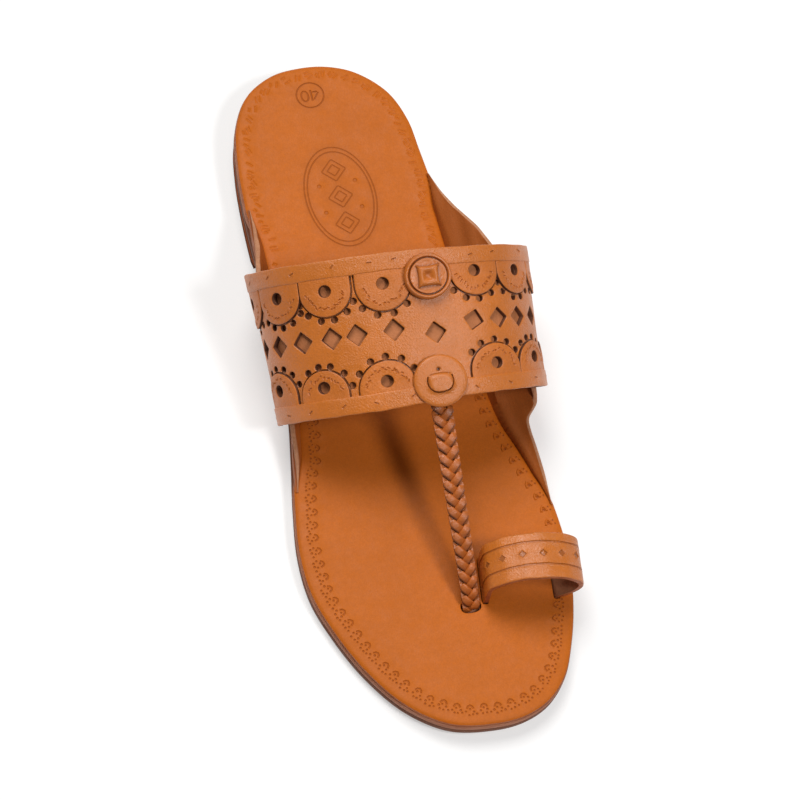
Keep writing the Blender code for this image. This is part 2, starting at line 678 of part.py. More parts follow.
def make_braid():
    """One wall with its strands raised on both faces."""
    path, arc = braid_path()
    ahead = np.gradient(path, axis=0)
    ahead /= np.linalg.norm(ahead, axis=1)[:, None]
    side = np.cross(path[-1] - path[0], (0.0, 0.0, 1.0))
    side /= np.linalg.norm(side)
    face = np.cross(side, ahead)
    face /= np.linalg.norm(face, axis=1)[:, None]
    across = np.linspace(-1, 1, 5)
    rings = []
    for i, centre in enumerate(path):
        width = BRAID_WIDTH + (BRAID_TOE_WIDTH - BRAID_WIDTH) * arc[i] / arc[-1]
        thick = BRAID_T / 2 * (1 - BRAID_ROUNDING * np.abs(across) ** 3)
        relief = braid_relief(across, arc[i]) * (1 - across**4)
        ring = [centre + side * u * width / 2 + face[i] * (h + r)
                for u, h, r in zip(across, thick, relief)]
        ring += [centre + side * u * width / 2 - face[i] * (h + r)
                 for u, h, r in zip(across[::-1], thick[::-1], relief[::-1])]
        rings.append([tuple(point) for point in ring])
    return loft(rings)


def make_upper():
    """Instep band and braid, one wall where they cross."""
    braid = make_braid()
    bmesh.ops.triangulate(braid, faces=braid.faces)
    bmesh.ops.recalc_face_normals(braid, faces=braid.faces)
    add_object("upper", combine(make_band(), braid, "UNION"), TAN)


def make_ornament(name, centre, rings, colour):
    """A turned leather piece laid on the band; rings are (reach at each turn, height)."""
    turns = np.arange(24) * 2 * pi / 24
    seat = 1.5 * GAP + BAND_T + RELIEF
    rows = []
    for reach, height in rings:
        radius = np.array([reach(turn) for turn in turns])
        rows.append(FORM.point(centre[0] + radius * np.cos(turns), centre[1] + radius * np.sin(turns),
                               seat + height * KNOB_HEIGHT))
    add_object(name, loft([[tuple(point) for point in row] for row in rows]), colour)


def turned(profile, reach):
    """Rings of a profile, each a share of a reach that may vary with the turn."""
    return [(lambda turn, share=share: share * reach(turn), height) for share, height in profile]


def make_disc():
    """Round washer over the start of the braid, with a squarish knob."""
    def knob(turn):
        return 0.43 * DISC_RADIUS / (abs(cos(turn)) ** 4 + abs(1.25 * sin(turn)) ** 4) ** 0.25

    rings = turned(DISC_PROFILE, lambda turn: DISC_RADIUS) + turned(DISC_KNOB, knob)
    make_ornament("disc", (DISC_ACROSS, BAND_LENGTH - DISC_FROM_FRONT), rings, TAN)


def make_rosette():
    """Ring with a four-cornered pinched knot."""
    def knot(turn):
        return 0.37 * ROSETTE_RADIUS * (1 + 0.32 * cos(4 * turn))

    rings = turned(ROSETTE_PROFILE, lambda turn: ROSETTE_RADIUS) + turned(ROSETTE_KNOT, knot)
    make_ornament("rosette", (ROSETTE_ACROSS, ROSETTE_FROM_REAR), rings, DARK_TAN)


def loop_path():
    """Middle of the toe loop's strap in its own plane: across and height over the footbed."""
    half, top = LOOP_WIDTH / 2 - LOOP_T / 2, LOOP_HEIGHT - LOOP_T / 2
    shoulder = LOOP_SHOULDER * top
    turn = np.linspace(0, pi, 15)
    arch = [(-half * np.sign(cos(a)) * abs(cos(a)) ** LOOP_ROUNDNESS,
             shoulder + (top - shoulder) * sin(a) ** LOOP_ROUNDNESS) for a in turn]
    tuck = [(half - LOOP_TUCK * u**1.6, shoulder * (1 - u)) for u in (0.25, 0.5, 0.75, 1.0)]
    rise = [(-half, shoulder * u) for u in (0.0, 0.5)]
    end = -FOOTBED_T
    return np.array([(-half, end)] + rise + arch + tuck + [(half - LOOP_TUCK, end)])


def make_toe_loop():
    """Strap round the big toe, both legs down through the footbed."""
    path = loop_path()
    ahead = np.gradient(path, axis=0)
    ahead[0] = ahead[1] = (0.0, 1.0)
    ahead[-1] = ahead[-2] = (0.0, -1.0)
    ahead /= np.linalg.norm(ahead, axis=1)[:, None]
    outward = np.stack([-ahead[:, 1], ahead[:, 0]], 1)
    rings = []
    for place, out in zip(path, outward):
        ring = []
        for thick, wide in ((-1, -1), (1, -1), (1, 0), (1, 1), (-1, 1), (-1, 0)):
            across, height = place + out * thick * LOOP_T / 2
            along = wide * LOOP_STRAP / 2
            x = LOOP_ACROSS + across * cos(LOOP_TURN) - along * sin(LOOP_TURN)
            y = LOOP_ALONG + across * sin(LOOP_TURN) + along * cos(LOOP_TURN)
            ring.append((x, y, height + footbed_top(LOOP_ALONG)))
        rings.append(ring)
    add_object("toe_loop", loft(rings), TAN)


def main():
    clear_scene()
    make_outsole()
    make_heel()
    make_footbed()
    for name in EAR_RIMS:
        make_ear(name)
    make_upper()
    make_disc()
    make_rosette()
    make_toe_loop()


main()
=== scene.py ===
"""Looks of the kolhapuri sandal: cut, punched, stamped and plaited leather over the plain solids."""
import bpy
import numpy as np
from math import cos, pi, radians, sin
from mathutils import Matrix, Vector
from mathutils.geometry import delaunay_2d_cdt


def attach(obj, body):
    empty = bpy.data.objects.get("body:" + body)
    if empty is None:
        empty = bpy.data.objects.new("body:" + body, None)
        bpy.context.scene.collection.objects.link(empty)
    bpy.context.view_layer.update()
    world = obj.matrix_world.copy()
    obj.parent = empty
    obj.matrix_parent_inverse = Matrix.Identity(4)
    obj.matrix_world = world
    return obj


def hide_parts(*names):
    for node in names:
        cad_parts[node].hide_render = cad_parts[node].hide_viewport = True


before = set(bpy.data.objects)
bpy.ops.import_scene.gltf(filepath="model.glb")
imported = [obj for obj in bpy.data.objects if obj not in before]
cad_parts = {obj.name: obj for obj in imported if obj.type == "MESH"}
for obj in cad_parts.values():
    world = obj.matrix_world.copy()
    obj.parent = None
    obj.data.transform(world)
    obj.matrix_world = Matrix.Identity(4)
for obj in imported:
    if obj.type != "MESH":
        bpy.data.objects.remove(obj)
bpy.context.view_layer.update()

MM = 0.001

# Sole, heel and footbed
SOLE_LENGTH = 0.264
SOLE_WIDTH = 0.096
SOLE_ACROSS = -0.0014
OUTSOLE_T = 0.0060
BOTTOM_T = 0.0033
FOOTBED_T = 0.0026
FOOTBED_EDGE = 0.0004
HEEL_LIFT = 0.0080
HEEL_LIFTS = 3
LIFT_SEAM = 0.00005
BREAST_HOLLOW = 0.0018
LAYER_SEAM = 0.00004
HEEL_BREAST = 0.062
HEEL_INSET = 0.0012
SEAT_RAMP_ALONG = -0.010
SEAT_RAMP_LENGTH = 0.055
TOE_SPRING = 0.0025
SPRING_ALONG = 0.090
GAP = 0.0003

# The last over the instep
INSTEP_HEIGHT = 0.0678
INSTEP_ACROSS = 0.0087
INSTEP_ALONG = 0.0276
INSTEP_SLOPE = radians(21.3)
INSTEP_TURN = radians(3.6)
LATERAL_ROUNDNESS = 2.32
MEDIAL_ROUNDNESS = 2.11
FLARE = 1.35

# Instep band
BAND_LENGTH = 0.0546
BAND_T = 0.0020
LOBE_T = 0.00075
TRIM_T = 0.00100
TRIM_SUNK = 0.0003
BAND_FOOT = 0.0045
TRIM = 0.115 * BAND_LENGTH
DIAMOND_LENGTH = 0.147 * BAND_LENGTH
DIAMOND_WIDTH = 0.139 * BAND_LENGTH
DIAMOND_PITCH = 0.183 * BAND_LENGTH
CENTRE_DIAMOND_SHIFT = 0.055 * BAND_LENGTH
DIAMOND_SHIFT = -0.018 * BAND_LENGTH
SCALLOP_HOLE = 0.040 * BAND_LENGTH
FRONT_HOLE_SHIFT = 0.048 * BAND_LENGTH
DOT_RADIUS = 0.023 * BAND_LENGTH
DOT_CLEAR = 0.028 * BAND_LENGTH
REAR_TAPER = 0.048 * BAND_LENGTH
FRONT_BOW = 0.011 * BAND_LENGTH
FRONT_TAPER = 0.018 * BAND_LENGTH
REAR_TAPER_SPAN = (-0.22 * BAND_LENGTH, 0.80 * BAND_LENGTH)
FRONT_TAPER_SPAN = (-0.46 * BAND_LENGTH, 0.18 * BAND_LENGTH)
LOBE_GAP = 0.00042
LOBE_GAP_DEPTH = 0.0007
LINING_T = 0.0005

# Ears
EAR_T = 0.0024
EAR_RIM_T = 0.0017
EAR_SINK = 0.0009
EAR_BLEND = 0.0150
EAR_HEIGHT = 0.0215
EAR_CLIMBS = 16

# Braid, post and toe loop
BRAID_WIDTH = 0.0078
BRAID_TOE_WIDTH = 0.0062
BRAID_T = 0.0024
BRAID_SINK = 0.0007
BRAID_HIDDEN = 0.0080
BRAID_ACROSS = -0.0020
POST_ACROSS = 0.025 * SOLE_WIDTH
POST_ALONG = -0.329 * SOLE_LENGTH
LOOP_ACROSS = 0.266 * SOLE_WIDTH
LOOP_ALONG = -0.305 * SOLE_LENGTH
LOOP_TURN = radians(-7.5)
LOOP_WIDTH = 0.367 * SOLE_WIDTH
LOOP_HEIGHT = 0.0225
LOOP_STRAP = 0.0170
LOOP_T = 0.0019
LOOP_TUCK = 0.0074
LOOP_SHOULDER = 0.46
LOOP_ROUNDNESS = 1.00

# Ornaments on the band
DISC_RADIUS = 0.0093
DISC_ACROSS = -0.0020
DISC_FROM_FRONT = 0.0072
ROSETTE_RADIUS = 0.0083
ROSETTE_ACROSS = -0.0016
ROSETTE_FROM_REAR = 0.0102

# Closed outline of the sole, clockwise from the back of the heel by way of the little-toe side
# columns: across as a share of SOLE_WIDTH, along as a share of SOLE_LENGTH
SOLE_OUTLINE = (
    (-0.069, 0.500), (-0.189, 0.495), (-0.304, 0.470), (-0.374, 0.426), (-0.406, 0.370),
    (-0.421, 0.300), (-0.425, 0.200), (-0.427, 0.090), (-0.438, 0.000), (-0.469, -0.065),
    (-0.508, -0.135), (-0.536, -0.205), (-0.530, -0.268), (-0.484, -0.325), (-0.404, -0.390),
    (-0.289, -0.450), (-0.149, -0.488), (0.011, -0.500), (0.125, -0.498), (0.229, -0.483),
    (0.316, -0.452), (0.376, -0.407), (0.423, -0.355), (0.456, -0.290), (0.459, -0.240),
    (0.441, -0.170), (0.405, -0.120), (0.362, -0.070), (0.341, 0.000), (0.328, 0.090),
    (0.325, 0.190), (0.320, 0.270), (0.306, 0.340), (0.293, 0.391), (0.244, 0.439),
    (0.140, 0.478), (0.036, 0.495))

# Cross sections of the last, rear to front
# columns: place as a share of BAND_LENGTH, lateral reach, medial reach, drop to the widest line,
# each as a share of INSTEP_HEIGHT
FORM_SECTIONS = (
    (-0.60, 0.800, 0.585, 0.500),
    (0.00, 0.856, 0.572, 0.500),
    (1.00, 0.787, 0.580, 0.480),
    (1.30, 0.787, 0.584, 0.480),
    (1.90, 0.840, 0.610, 0.480))

# Rim of each ear, rear to front
# columns: place as a share of BAND_LENGTH, rise above the footbed as a share of EAR_HEIGHT
EAR_RIMS = {
    "ear_medial": (
        (-0.56, 0.02), (-0.42, 0.13), (-0.31, 0.29), (-0.15, 0.62), (0.00, 0.80), (0.25, 0.97),
        (0.75, 1.00), (1.00, 0.97), (1.09, 0.66), (1.18, 0.36), (1.28, 0.27), (1.40, 0.19),
        (1.52, 0.11), (1.64, 0.05), (1.76, 0.01)),
    "ear_lateral": (
        (-0.46, 0.02), (-0.38, 0.18), (-0.24, 0.42), (-0.06, 0.72), (0.10, 0.87), (0.35, 0.95),
        (0.70, 0.80), (0.90, 0.47), (1.02, 0.31), (1.15, 0.17), (1.30, 0.08), (1.46, 0.01))}

# Scallops of the rear row, which open towards the toe, and of the front row, which open back
# columns: place across from the crown, place down the slope, radius, each as a share of
# BAND_LENGTH, then the degrees from its tip of each dot punched round it
REAR_SCALLOPS = (
    (-1.345, 0.195, 0.163, (-43, -15, 11, 40)),
    (-1.015, 0.195, 0.163, (-43, -21, 3, 28, 53)),
    (-0.683, 0.195, 0.163, (-69, -43, -15, 11, 40, 63)),
    (-0.315, 0.195, 0.175, (-46, -16, 14, 43)),
    (0.282, 0.168, 0.165, (-50, -22, 5, 34, 62)),
    (0.613, 0.178, 0.163, (-41, -10, 15, 42)),
    (0.945, 0.178, 0.163, (-41, -10, 15, 42)),
    (1.277, 0.178, 0.163, (-41, -10, 15, 42)))
FRONT_SCALLOPS = (
    (-1.126, 0.830, 0.163, (-29, -5, 20, 44, 68)),
    (-0.769, 0.853, 0.157, (-33, -8, 17, 48, 78)),
    (-0.366, 0.866, 0.178, (-55, -26, 2, 31, 60)),
    (0.357, 0.853, 0.180, (-50, -26, 2, 29, 54)),
    (0.700, 0.836, 0.160, (-38, -15, 8, 34, 60)),
    (1.045, 0.836, 0.163, (-40, -12, 14, 40)))

# Places of the diamonds across from the crown, in DIAMOND_PITCH
DIAMONDS = (-7.85, -6.83, -5.73, -4.70, -3.62, -2.73, -1.44, 1.41, 2.40, 3.35, 4.37, 5.37, 6.37)

# The diamond that was punched well out of line, and its turn
LOOSE_DIAMOND = 1.41
LOOSE_DIAMOND_TURN = radians(17)

# Corners of a lozenge, in turn
CORNERS = ((1, 0), (0, 1), (-1, 0), (0, -1))

# Rounding of a cut edge, of a hole's rim and of the footbed's edge
# columns: distance in from the edge, drop below the face
CUT_EDGE = ((0.00045, 0.0), (0.00018, 0.00007), (0.0, 0.00030))
PUNCHED_EDGE = ((0.00034, 0.0), (0.00014, 0.00006), (0.0, 0.00024))
SOLE_EDGE = ((0.0022, 0.0), (0.0011, 0.00010), (0.00045, 0.00032), (0.0, 0.00075))

# Spacing of the points that fill the face of each kind of plate
FOOTBED_PITCH = 0.0028
BAND_PITCH = 0.0017
LINING_PITCH = 0.0030
LOBE_PITCH = 0.0019
DISC_PITCH = 0.0008
ROSETTE_PITCH = 0.0009
LOOP_PITCH = 0.0011

# Materials of a plate: its face, its outer edge, its back and the walls of its holes, the last painted dark
# for the shade inside them
BAND_LEATHERS = ("band", "cut", "flesh", "punched")

RANDOM = np.random.default_rng(7)


# ---------------------------------------------------------------- shapes shared with the solids

def smooth_step(share):
    """Rise from 0 to 1 with level ends."""
    share = np.clip(share, 0.0, 1.0)
    return share * share * (3 - 2 * share)


def unit_rows(rows):
    """The rows scaled to a length of 1."""
    return rows / np.linalg.norm(rows, axis=1)[:, None]


def arc_lengths(route):
    """Length along a line of points, up to each of them."""
    return np.concatenate([[0], np.cumsum(np.linalg.norm(np.diff(route, axis=0), axis=1))])


def full_turn(count):
    """Evenly spaced angles all the way round."""
    return np.arange(count) * 2 * pi / count


def between_corners(tips, shares):
    """Places along the sides of a lozenge, at shares of each side."""
    return np.array([tips[i] + (tips[(i + 1) % 4] - tips[i]) * u for i in range(4) for u in shares])


def level(height):
    """The face of a plate that lies at one height."""
    return lambda places: np.full(len(places), height)


def closed_curve(rows, per_span):
    """Points of a smooth closed curve through the rows, with chord-weighted tangents."""
    points = np.array(rows, float)
    count = len(points)
    curve = []
    for i in range(count):
        before, start, end, after = (points[(i + k) % count] for k in (-1, 0, 1, 2))
        gaps = [np.linalg.norm(b - a) ** 0.5 for a, b in ((before, start), (start, end), (end, after))]
        leave = gaps[1] * ((end - start) / gaps[1] - (end - before) / (gaps[0] + gaps[1])
                           + (start - before) / gaps[0])
        arrive = gaps[1] * ((end - start) / gaps[1] - (after - start) / (gaps[1] + gaps[2])
                            + (after - end) / gaps[2])
        for j in range(per_span):
            u = j / per_span
            curve.append((2 * u**3 - 3 * u**2 + 1) * start + (u**3 - 2 * u**2 + u) * leave
                         + (3 * u**2 - 2 * u**3) * end + (u**3 - u**2) * arrive)
    return np.array(curve)


def split_sides(outline):
    """The little-toe side (-1) and big-toe side (1) of the outline, each from toe to heel."""
    heel, toe, count = outline[:, 1].argmax(), outline[:, 1].argmin(), len(outline)
    lateral = np.array([outline[(heel + i) % count] for i in range((toe - heel) % count + 1)])
    medial = np.array([outline[(toe + i) % count] for i in range((heel - toe) % count + 1)])
    return {-1: lateral[::-1], 1: medial}


SOLE_POINTS = [(a * SOLE_WIDTH + SOLE_ACROSS, b * SOLE_LENGTH) for a, b in SOLE_OUTLINE]
OUTLINE = closed_curve(SOLE_POINTS, 14)
SIDES = split_sides(OUTLINE)


def edge_x(side, y):
    """Where the sole's edge lies across, at a place along the shoe."""
    return np.interp(y, SIDES[side][:, 1], SIDES[side][:, 0])


def lift(y):
    """Height of the outsole's underside: level forefoot, raised seat, slight toe spring."""
    seat = HEEL_LIFT * smooth_step((np.asarray(y) - SEAT_RAMP_ALONG) / SEAT_RAMP_LENGTH)
    spring_length = SOLE_LENGTH / 2 - SPRING_ALONG
    toe = TOE_SPRING * np.clip((-np.asarray(y) - SPRING_ALONG) / spring_length, 0, 1) ** 2
    return seat + toe


def footbed_top(y):
    """Height that the foot stands on."""
    return lift(y) + OUTSOLE_T + GAP + FOOTBED_T


def to_form(x, y, z):
    """World place to the form's own: across, along its slope, and out from its crown line."""
    dx, dy, dz = x - INSTEP_ACROSS, y - INSTEP_ALONG, z - INSTEP_HEIGHT
    across = dx * cos(INSTEP_TURN) - dy * sin(INSTEP_TURN)
    back = dx * sin(INSTEP_TURN) + dy * cos(INSTEP_TURN)
    along = -back * cos(INSTEP_SLOPE) - dz * sin(INSTEP_SLOPE)
    out = -back * sin(INSTEP_SLOPE) + dz * cos(INSTEP_SLOPE)
    return across, along, out


def from_form(across, along, out):
    """The form's own place to world, as rows of x, y, z."""
    back = -along * cos(INSTEP_SLOPE) - out * sin(INSTEP_SLOPE)
    up = -along * sin(INSTEP_SLOPE) + out * cos(INSTEP_SLOPE)
    x = INSTEP_ACROSS + across * cos(INSTEP_TURN) + back * sin(INSTEP_TURN)
    y = INSTEP_ALONG - across * sin(INSTEP_TURN) + back * cos(INSTEP_TURN)
    return np.stack([x, y, INSTEP_HEIGHT + up], -1)


class Form:
    """The last over the instep, unrolled: s runs round it from the crown, t down its slope."""

    S_STEP = SOLE_LENGTH / 528
    T_STEP = SOLE_LENGTH / 132

    def __init__(self):
        self.s = np.arange(-260, 261) * self.S_STEP
        self.t = np.arange(-30, 64) * self.T_STEP
        self.feet = {side: self.foot_line(side) for side in (-1, 1)}
        shape = (len(self.t), len(self.s))
        self.across, self.out = np.zeros(shape), np.zeros(shape)
        self.foot_arc = {side: np.zeros(len(self.t)) for side in (-1, 1)}
        for i, t in enumerate(self.t):
            for side in (-1, 1):
                arc, across, out = self.half_section(side, t)
                here = self.s * side >= 0
                self.across[i, here] = np.interp(np.abs(self.s[here]), arc, across)
                self.out[i, here] = np.interp(np.abs(self.s[here]), arc, out)
                self.foot_arc[side][i] = arc[-2]
        turn_across, turn_out = -np.gradient(self.out, axis=1), np.gradient(self.across, axis=1)
        size = np.maximum(np.hypot(turn_across, turn_out), 1e-9)
        self.normal_across, self.normal_out = turn_across / size, turn_out / size

    @staticmethod
    def foot_line(side):
        """Where the form meets the sole's edge, in its own terms, ordered along the slope."""
        y = np.linspace(-0.45, 0.42, 200) * SOLE_LENGTH
        across, along, out = to_form(edge_x(side, y), y, footbed_top(y))
        order = np.argsort(along)
        return along[order], across[order], out[order], y[order]

    def foot_y(self, side, t):
        """How far along the shoe the section's foot lies."""
        return np.interp(t, self.feet[side][0], self.feet[side][3])

    def half_section(self, side, t):
        """One side of a section from crown to foot and on below: arc length, across, out."""
        table = np.array(FORM_SECTIONS)
        lateral, medial, drop = (INSTEP_HEIGHT * np.interp(t / BAND_LENGTH, table[:, 0], table[:, k])
                                 for k in (1, 2, 3))
        reach = lateral if side < 0 else medial
        power = 2 / (LATERAL_ROUNDNESS if side < 0 else MEDIAL_ROUNDNESS)
        foot_across = np.interp(t, self.feet[side][0], self.feet[side][1])
        foot_out = np.interp(t, self.feet[side][0], self.feet[side][2])
        drop = min(drop, -0.8 * foot_out)
        turn = np.linspace(0, pi / 2, 60)
        fall = np.linspace(0, 1, 30)[1:]
        widest = side * reach
        across = np.concatenate([widest * np.sin(turn) ** power,
                                 widest + (foot_across - widest) * fall ** FLARE])
        out = np.concatenate([drop * (np.cos(turn) ** power - 1), -drop + (foot_out + drop) * fall])
        across = np.append(across, across[-1])
        out = np.append(out, out[-1] - INSTEP_HEIGHT)
        arc = np.concatenate([[0], np.cumsum(np.hypot(np.diff(across), np.diff(out)))])
        return arc, across, out

    def blend(self, grid, s, t):
        """Bilinear reading of a grid."""
        a = np.clip((s - self.s[0]) / self.S_STEP, 0, len(self.s) - 1.001)
        b = np.clip((t - self.t[0]) / self.T_STEP, 0, len(self.t) - 1.001)
        i, j = a.astype(int), b.astype(int)
        a, b = a - i, b - j
        near = grid[j, i] * (1 - a) + grid[j, i + 1] * a
        far = grid[j + 1, i] * (1 - a) + grid[j + 1, i + 1] * a
        return near * (1 - b) + far * b

    def point(self, s, t, height):
        """World points at arc s, slope t and a height off the form."""
        s, t, height = np.broadcast_arrays(*(np.asarray(v, float) for v in (s, t, height)))
        across = self.blend(self.across, s, t) + height * self.blend(self.normal_across, s, t)
        out = self.blend(self.out, s, t) + height * self.blend(self.normal_out, s, t)
        return from_form(across, t, out)

    def foot(self, side, t):
        """Arc length at the foot, signed by side."""
        return side * np.interp(t, self.t, self.foot_arc[side])


FORM = Form()


# ---------------------------------------------------------------- leather finishes

class Finish:
    """A procedural material built node by node."""

    def __init__(self, name):
        self.material = bpy.data.materials.new(name)
        self.material.use_nodes = True
        self.tree = self.material.node_tree
        self.shader = self.tree.nodes["Principled BSDF"]
        self.where = self.tree.nodes.new("ShaderNodeTexCoord").outputs["Object"]

    def join(self, source, target):
        """Link an output to an input, or set the input to a plain value."""
        if isinstance(source, bpy.types.NodeSocket):
            self.tree.links.new(source, target)
        else:
            target.default_value = source

    def noise(self, scale, detail=3.0, stretch=None, roughness=0.55):
        """Noise with its features per metre, drawn out along an axis if asked."""
        place = self.where
        if stretch:
            mapping = self.tree.nodes.new("ShaderNodeMapping")
            mapping.inputs["Scale"].default_value = stretch
            self.join(self.where, mapping.inputs["Vector"])
            place = mapping.outputs["Vector"]
        node = self.tree.nodes.new("ShaderNodeTexNoise")
        node.inputs["Scale"].default_value = scale
        node.inputs["Detail"].default_value = detail
        node.inputs["Roughness"].default_value = roughness
        self.join(place, node.inputs["Vector"])
        return node.outputs["Fac"]

    def cells(self, scale):
        """Distance to the edges of small cells, for the grain."""
        node = self.tree.nodes.new("ShaderNodeTexVoronoi")
        node.feature = "DISTANCE_TO_EDGE"
        node.inputs["Scale"].default_value = scale
        self.join(self.where, node.inputs["Vector"])
        return node.outputs["Distance"]

    def attribute(self, name):
        """A number that the mesh carries at each point."""
        node = self.tree.nodes.new("ShaderNodeAttribute")
        node.attribute_name = name
        return node.outputs["Fac"]

    def scaled(self, value, low, high, to_low, to_high):
        """A value carried from one range to another and held inside it."""
        node = self.tree.nodes.new("ShaderNodeMapRange")
        for key, number in (("From Min", low), ("From Max", high), ("To Min", to_low), ("To Max", to_high)):
            node.inputs[key].default_value = number
        self.join(value, node.inputs["Value"])
        return node.outputs["Result"]

    def mix(self, share, first, second):
        """Blend of two colours."""
        node = self.tree.nodes.new("ShaderNodeMix")
        node.data_type = "RGBA"
        self.join(share, node.inputs[0])
        self.join(first, node.inputs[6])
        self.join(second, node.inputs[7])
        return node.outputs[2]

    def bump(self, height, strength, distance, normal=None):
        """Fine relief over an earlier one."""
        node = self.tree.nodes.new("ShaderNodeBump")
        node.inputs["Strength"].default_value = strength
        node.inputs["Distance"].default_value = distance
        self.join(height, node.inputs["Height"])
        if normal is not None:
            self.join(normal, node.inputs["Normal"])
        return node.outputs["Normal"]


def tinted(colour, factor):
    """A colour made lighter or darker."""
    return tuple(min(1.0, part * factor) for part in colour[:3]) + (1.0,)


def grain_leather(name, colour, press_and_shade_brown, gloss=0.42, blotch=0.5, grain=1.0, stretch=None, shine=0.20):
    """Smooth vegetable-tanned leather: cloudy dye, fine pores, and darker where the mesh says so, partly as
    pressed leather darkens and partly as painted shade in hollows and under tucked strands.
    """
    finish = Finish(name)
    cloud = finish.scaled(finish.noise(38, 4, stretch), 0.32, 0.68, 0.0, 1.0)
    speck = finish.scaled(finish.noise(650, 3, stretch), 0.35, 0.65, 0.0, 1.0)
    base = finish.mix(cloud, tinted(colour, 1 - 0.16 * blotch), tinted(colour, 1 + 0.14 * blotch))
    base = finish.mix(finish.scaled(speck, 0.0, 1.0, 0.0, 0.24), base, tinted(colour, 0.72))
    pores = finish.scaled(finish.noise(1700, 2), 0.36, 0.64, 0.0, 0.22)
    base = finish.mix(pores, base, tinted(colour, 0.62))
    # Painted shade: the face goes towards the dark brown in stamps, grooves, hole rims, gaps and under braid
    # strands; in stamps this is partly the real darkening of pressed leather
    base = finish.mix(finish.scaled(finish.attribute("press_and_shade"), 0.0, 1.0, 0.0, 0.90), base, press_and_shade_brown)
    finish.join(base, finish.shader.inputs["Base Color"])
    sheen = finish.scaled(finish.noise(220, 3), 0.3, 0.7, gloss - 0.06, gloss + 0.10)
    finish.join(sheen, finish.shader.inputs["Roughness"])
    normal = finish.bump(finish.noise(1350, 4, None, 0.65), 0.26 * grain, 0.00030)
    normal = finish.bump(finish.cells(1000), 0.16 * grain, 0.00030, normal)
    normal = finish.bump(finish.noise(150, 2, stretch), 0.18, 0.0006, normal)
    finish.join(normal, finish.shader.inputs["Normal"])
    finish.shader.inputs["Specular IOR Level"].default_value = shine
    return finish.material


def cut_leather(name, colour, fibre, gloss=0.72):
    """The raw side of cut leather, with fibres."""
    finish = Finish(name)
    strands = finish.scaled(finish.noise(900, 4, (1.0, 1.0, 3.2), 0.7), 0.3, 0.7, 0.0, 1.0)
    wide = finish.scaled(finish.noise(120, 3), 0.3, 0.7, 0.0, 0.45)
    base = finish.mix(strands, colour, fibre)
    finish.join(finish.mix(wide, base, tinted(colour, 0.66)), finish.shader.inputs["Base Color"])
    finish.shader.inputs["Roughness"].default_value = gloss
    normal = finish.bump(finish.noise(1800, 4, (1.0, 1.0, 2.5), 0.7), 0.45, 0.0002)
    finish.join(normal, finish.shader.inputs["Normal"])
    return finish.material


def burnished_edge(name, colour, light, gloss=0.36):
    """The waxed side of a sole layer, streaked along its length."""
    finish = Finish(name)
    streak = finish.scaled(finish.noise(260, 4, (0.35, 0.35, 6.0), 0.6), 0.32, 0.68, 0.0, 1.0)
    finish.join(finish.mix(streak, colour, light), finish.shader.inputs["Base Color"])
    rough = finish.scaled(finish.noise(300, 3), 0.3, 0.7, gloss - 0.05, gloss + 0.16)
    finish.join(rough, finish.shader.inputs["Roughness"])
    normal = finish.bump(finish.noise(700, 4, (0.5, 0.5, 4.0), 0.6), 0.35, 0.00025)
    finish.join(normal, finish.shader.inputs["Normal"])
    finish.shader.inputs["Specular IOR Level"].default_value = 0.08
    return finish.material


TAN = (0.525, 0.126, 0.008, 1.0)
BAND_TAN = (0.575, 0.156, 0.014, 1.0)
# Dark brown of pressed marks, also used as painted shade in hollows, gaps and under tucked strands
PRESS_AND_SHADE_BROWN = (0.105, 0.028, 0.010, 1.0)
# The ears' leather, the footbed's own, painted darker for the shade on their steep faces
SHADED_EAR_TAN = (0.370, 0.095, 0.016, 1.0)

LEATHERS = {
    "footbed": grain_leather("footbed_leather", TAN, PRESS_AND_SHADE_BROWN, 0.50, 0.35),
    "band": grain_leather("band_leather", BAND_TAN, PRESS_AND_SHADE_BROWN, 0.34, 0.6, 2.6, None, 0.62),
    "lobe": grain_leather("lobe_leather", (0.565, 0.150, 0.013, 1.0), PRESS_AND_SHADE_BROWN, 0.42, 0.8, 2.6, None, 0.52),
    "ear": grain_leather("ear_leather", SHADED_EAR_TAN, PRESS_AND_SHADE_BROWN, 0.48, 1.0, 1.3, (1.6, 0.45, 1.6)),
    "braid": grain_leather("braid_leather", (0.470, 0.120, 0.018, 1.0), PRESS_AND_SHADE_BROWN, 0.36, 0.8, 2.0, None, 0.50),
    "rosette": grain_leather("rosette_leather", (0.560, 0.155, 0.022, 1.0), PRESS_AND_SHADE_BROWN, 0.33, 0.8, 1.6, None, 0.42),
    "cut": cut_leather("cut_edge", (0.400, 0.155, 0.065, 1.0), (0.560, 0.270, 0.140, 1.0)),
    "flesh": cut_leather("flesh_side", (0.300, 0.110, 0.045, 1.0), (0.420, 0.180, 0.080, 1.0), 0.85),
    # Near-black walls of holes and of the scallops' edges: painted shade in holes and gaps, not the leather's
    # cut colour
    "punched": cut_leather("punched_wall_shade", (0.085, 0.024, 0.007, 1.0), (0.160, 0.048, 0.015, 1.0), 0.8),
    "lining": cut_leather("lining_sheet", (0.440, 0.145, 0.045, 1.0), (0.570, 0.205, 0.075, 1.0), 0.8),
    "red_edge": burnished_edge("red_brown_edge", (0.300, 0.075, 0.022, 1.0), (0.460, 0.150, 0.060, 1.0)),
    # The middle layer's edge is a lighter mauve: partly its own colour, partly painted highlight where its
    # rounded edge catches the light
    "mauve_edge_and_sheen": burnished_edge("mauve_edge_and_sheen", (0.340, 0.120, 0.060, 1.0), (0.470, 0.210, 0.130, 1.0), 0.55),
    "dark_edge": burnished_edge("dark_edge", (0.150, 0.055, 0.030, 1.0), (0.230, 0.100, 0.060, 1.0), 0.55),
    "tread": cut_leather("tread_leather", (0.230, 0.105, 0.052, 1.0), (0.320, 0.165, 0.090, 1.0), 0.8)}


# ---------------------------------------------------------------- cut and stamped pieces

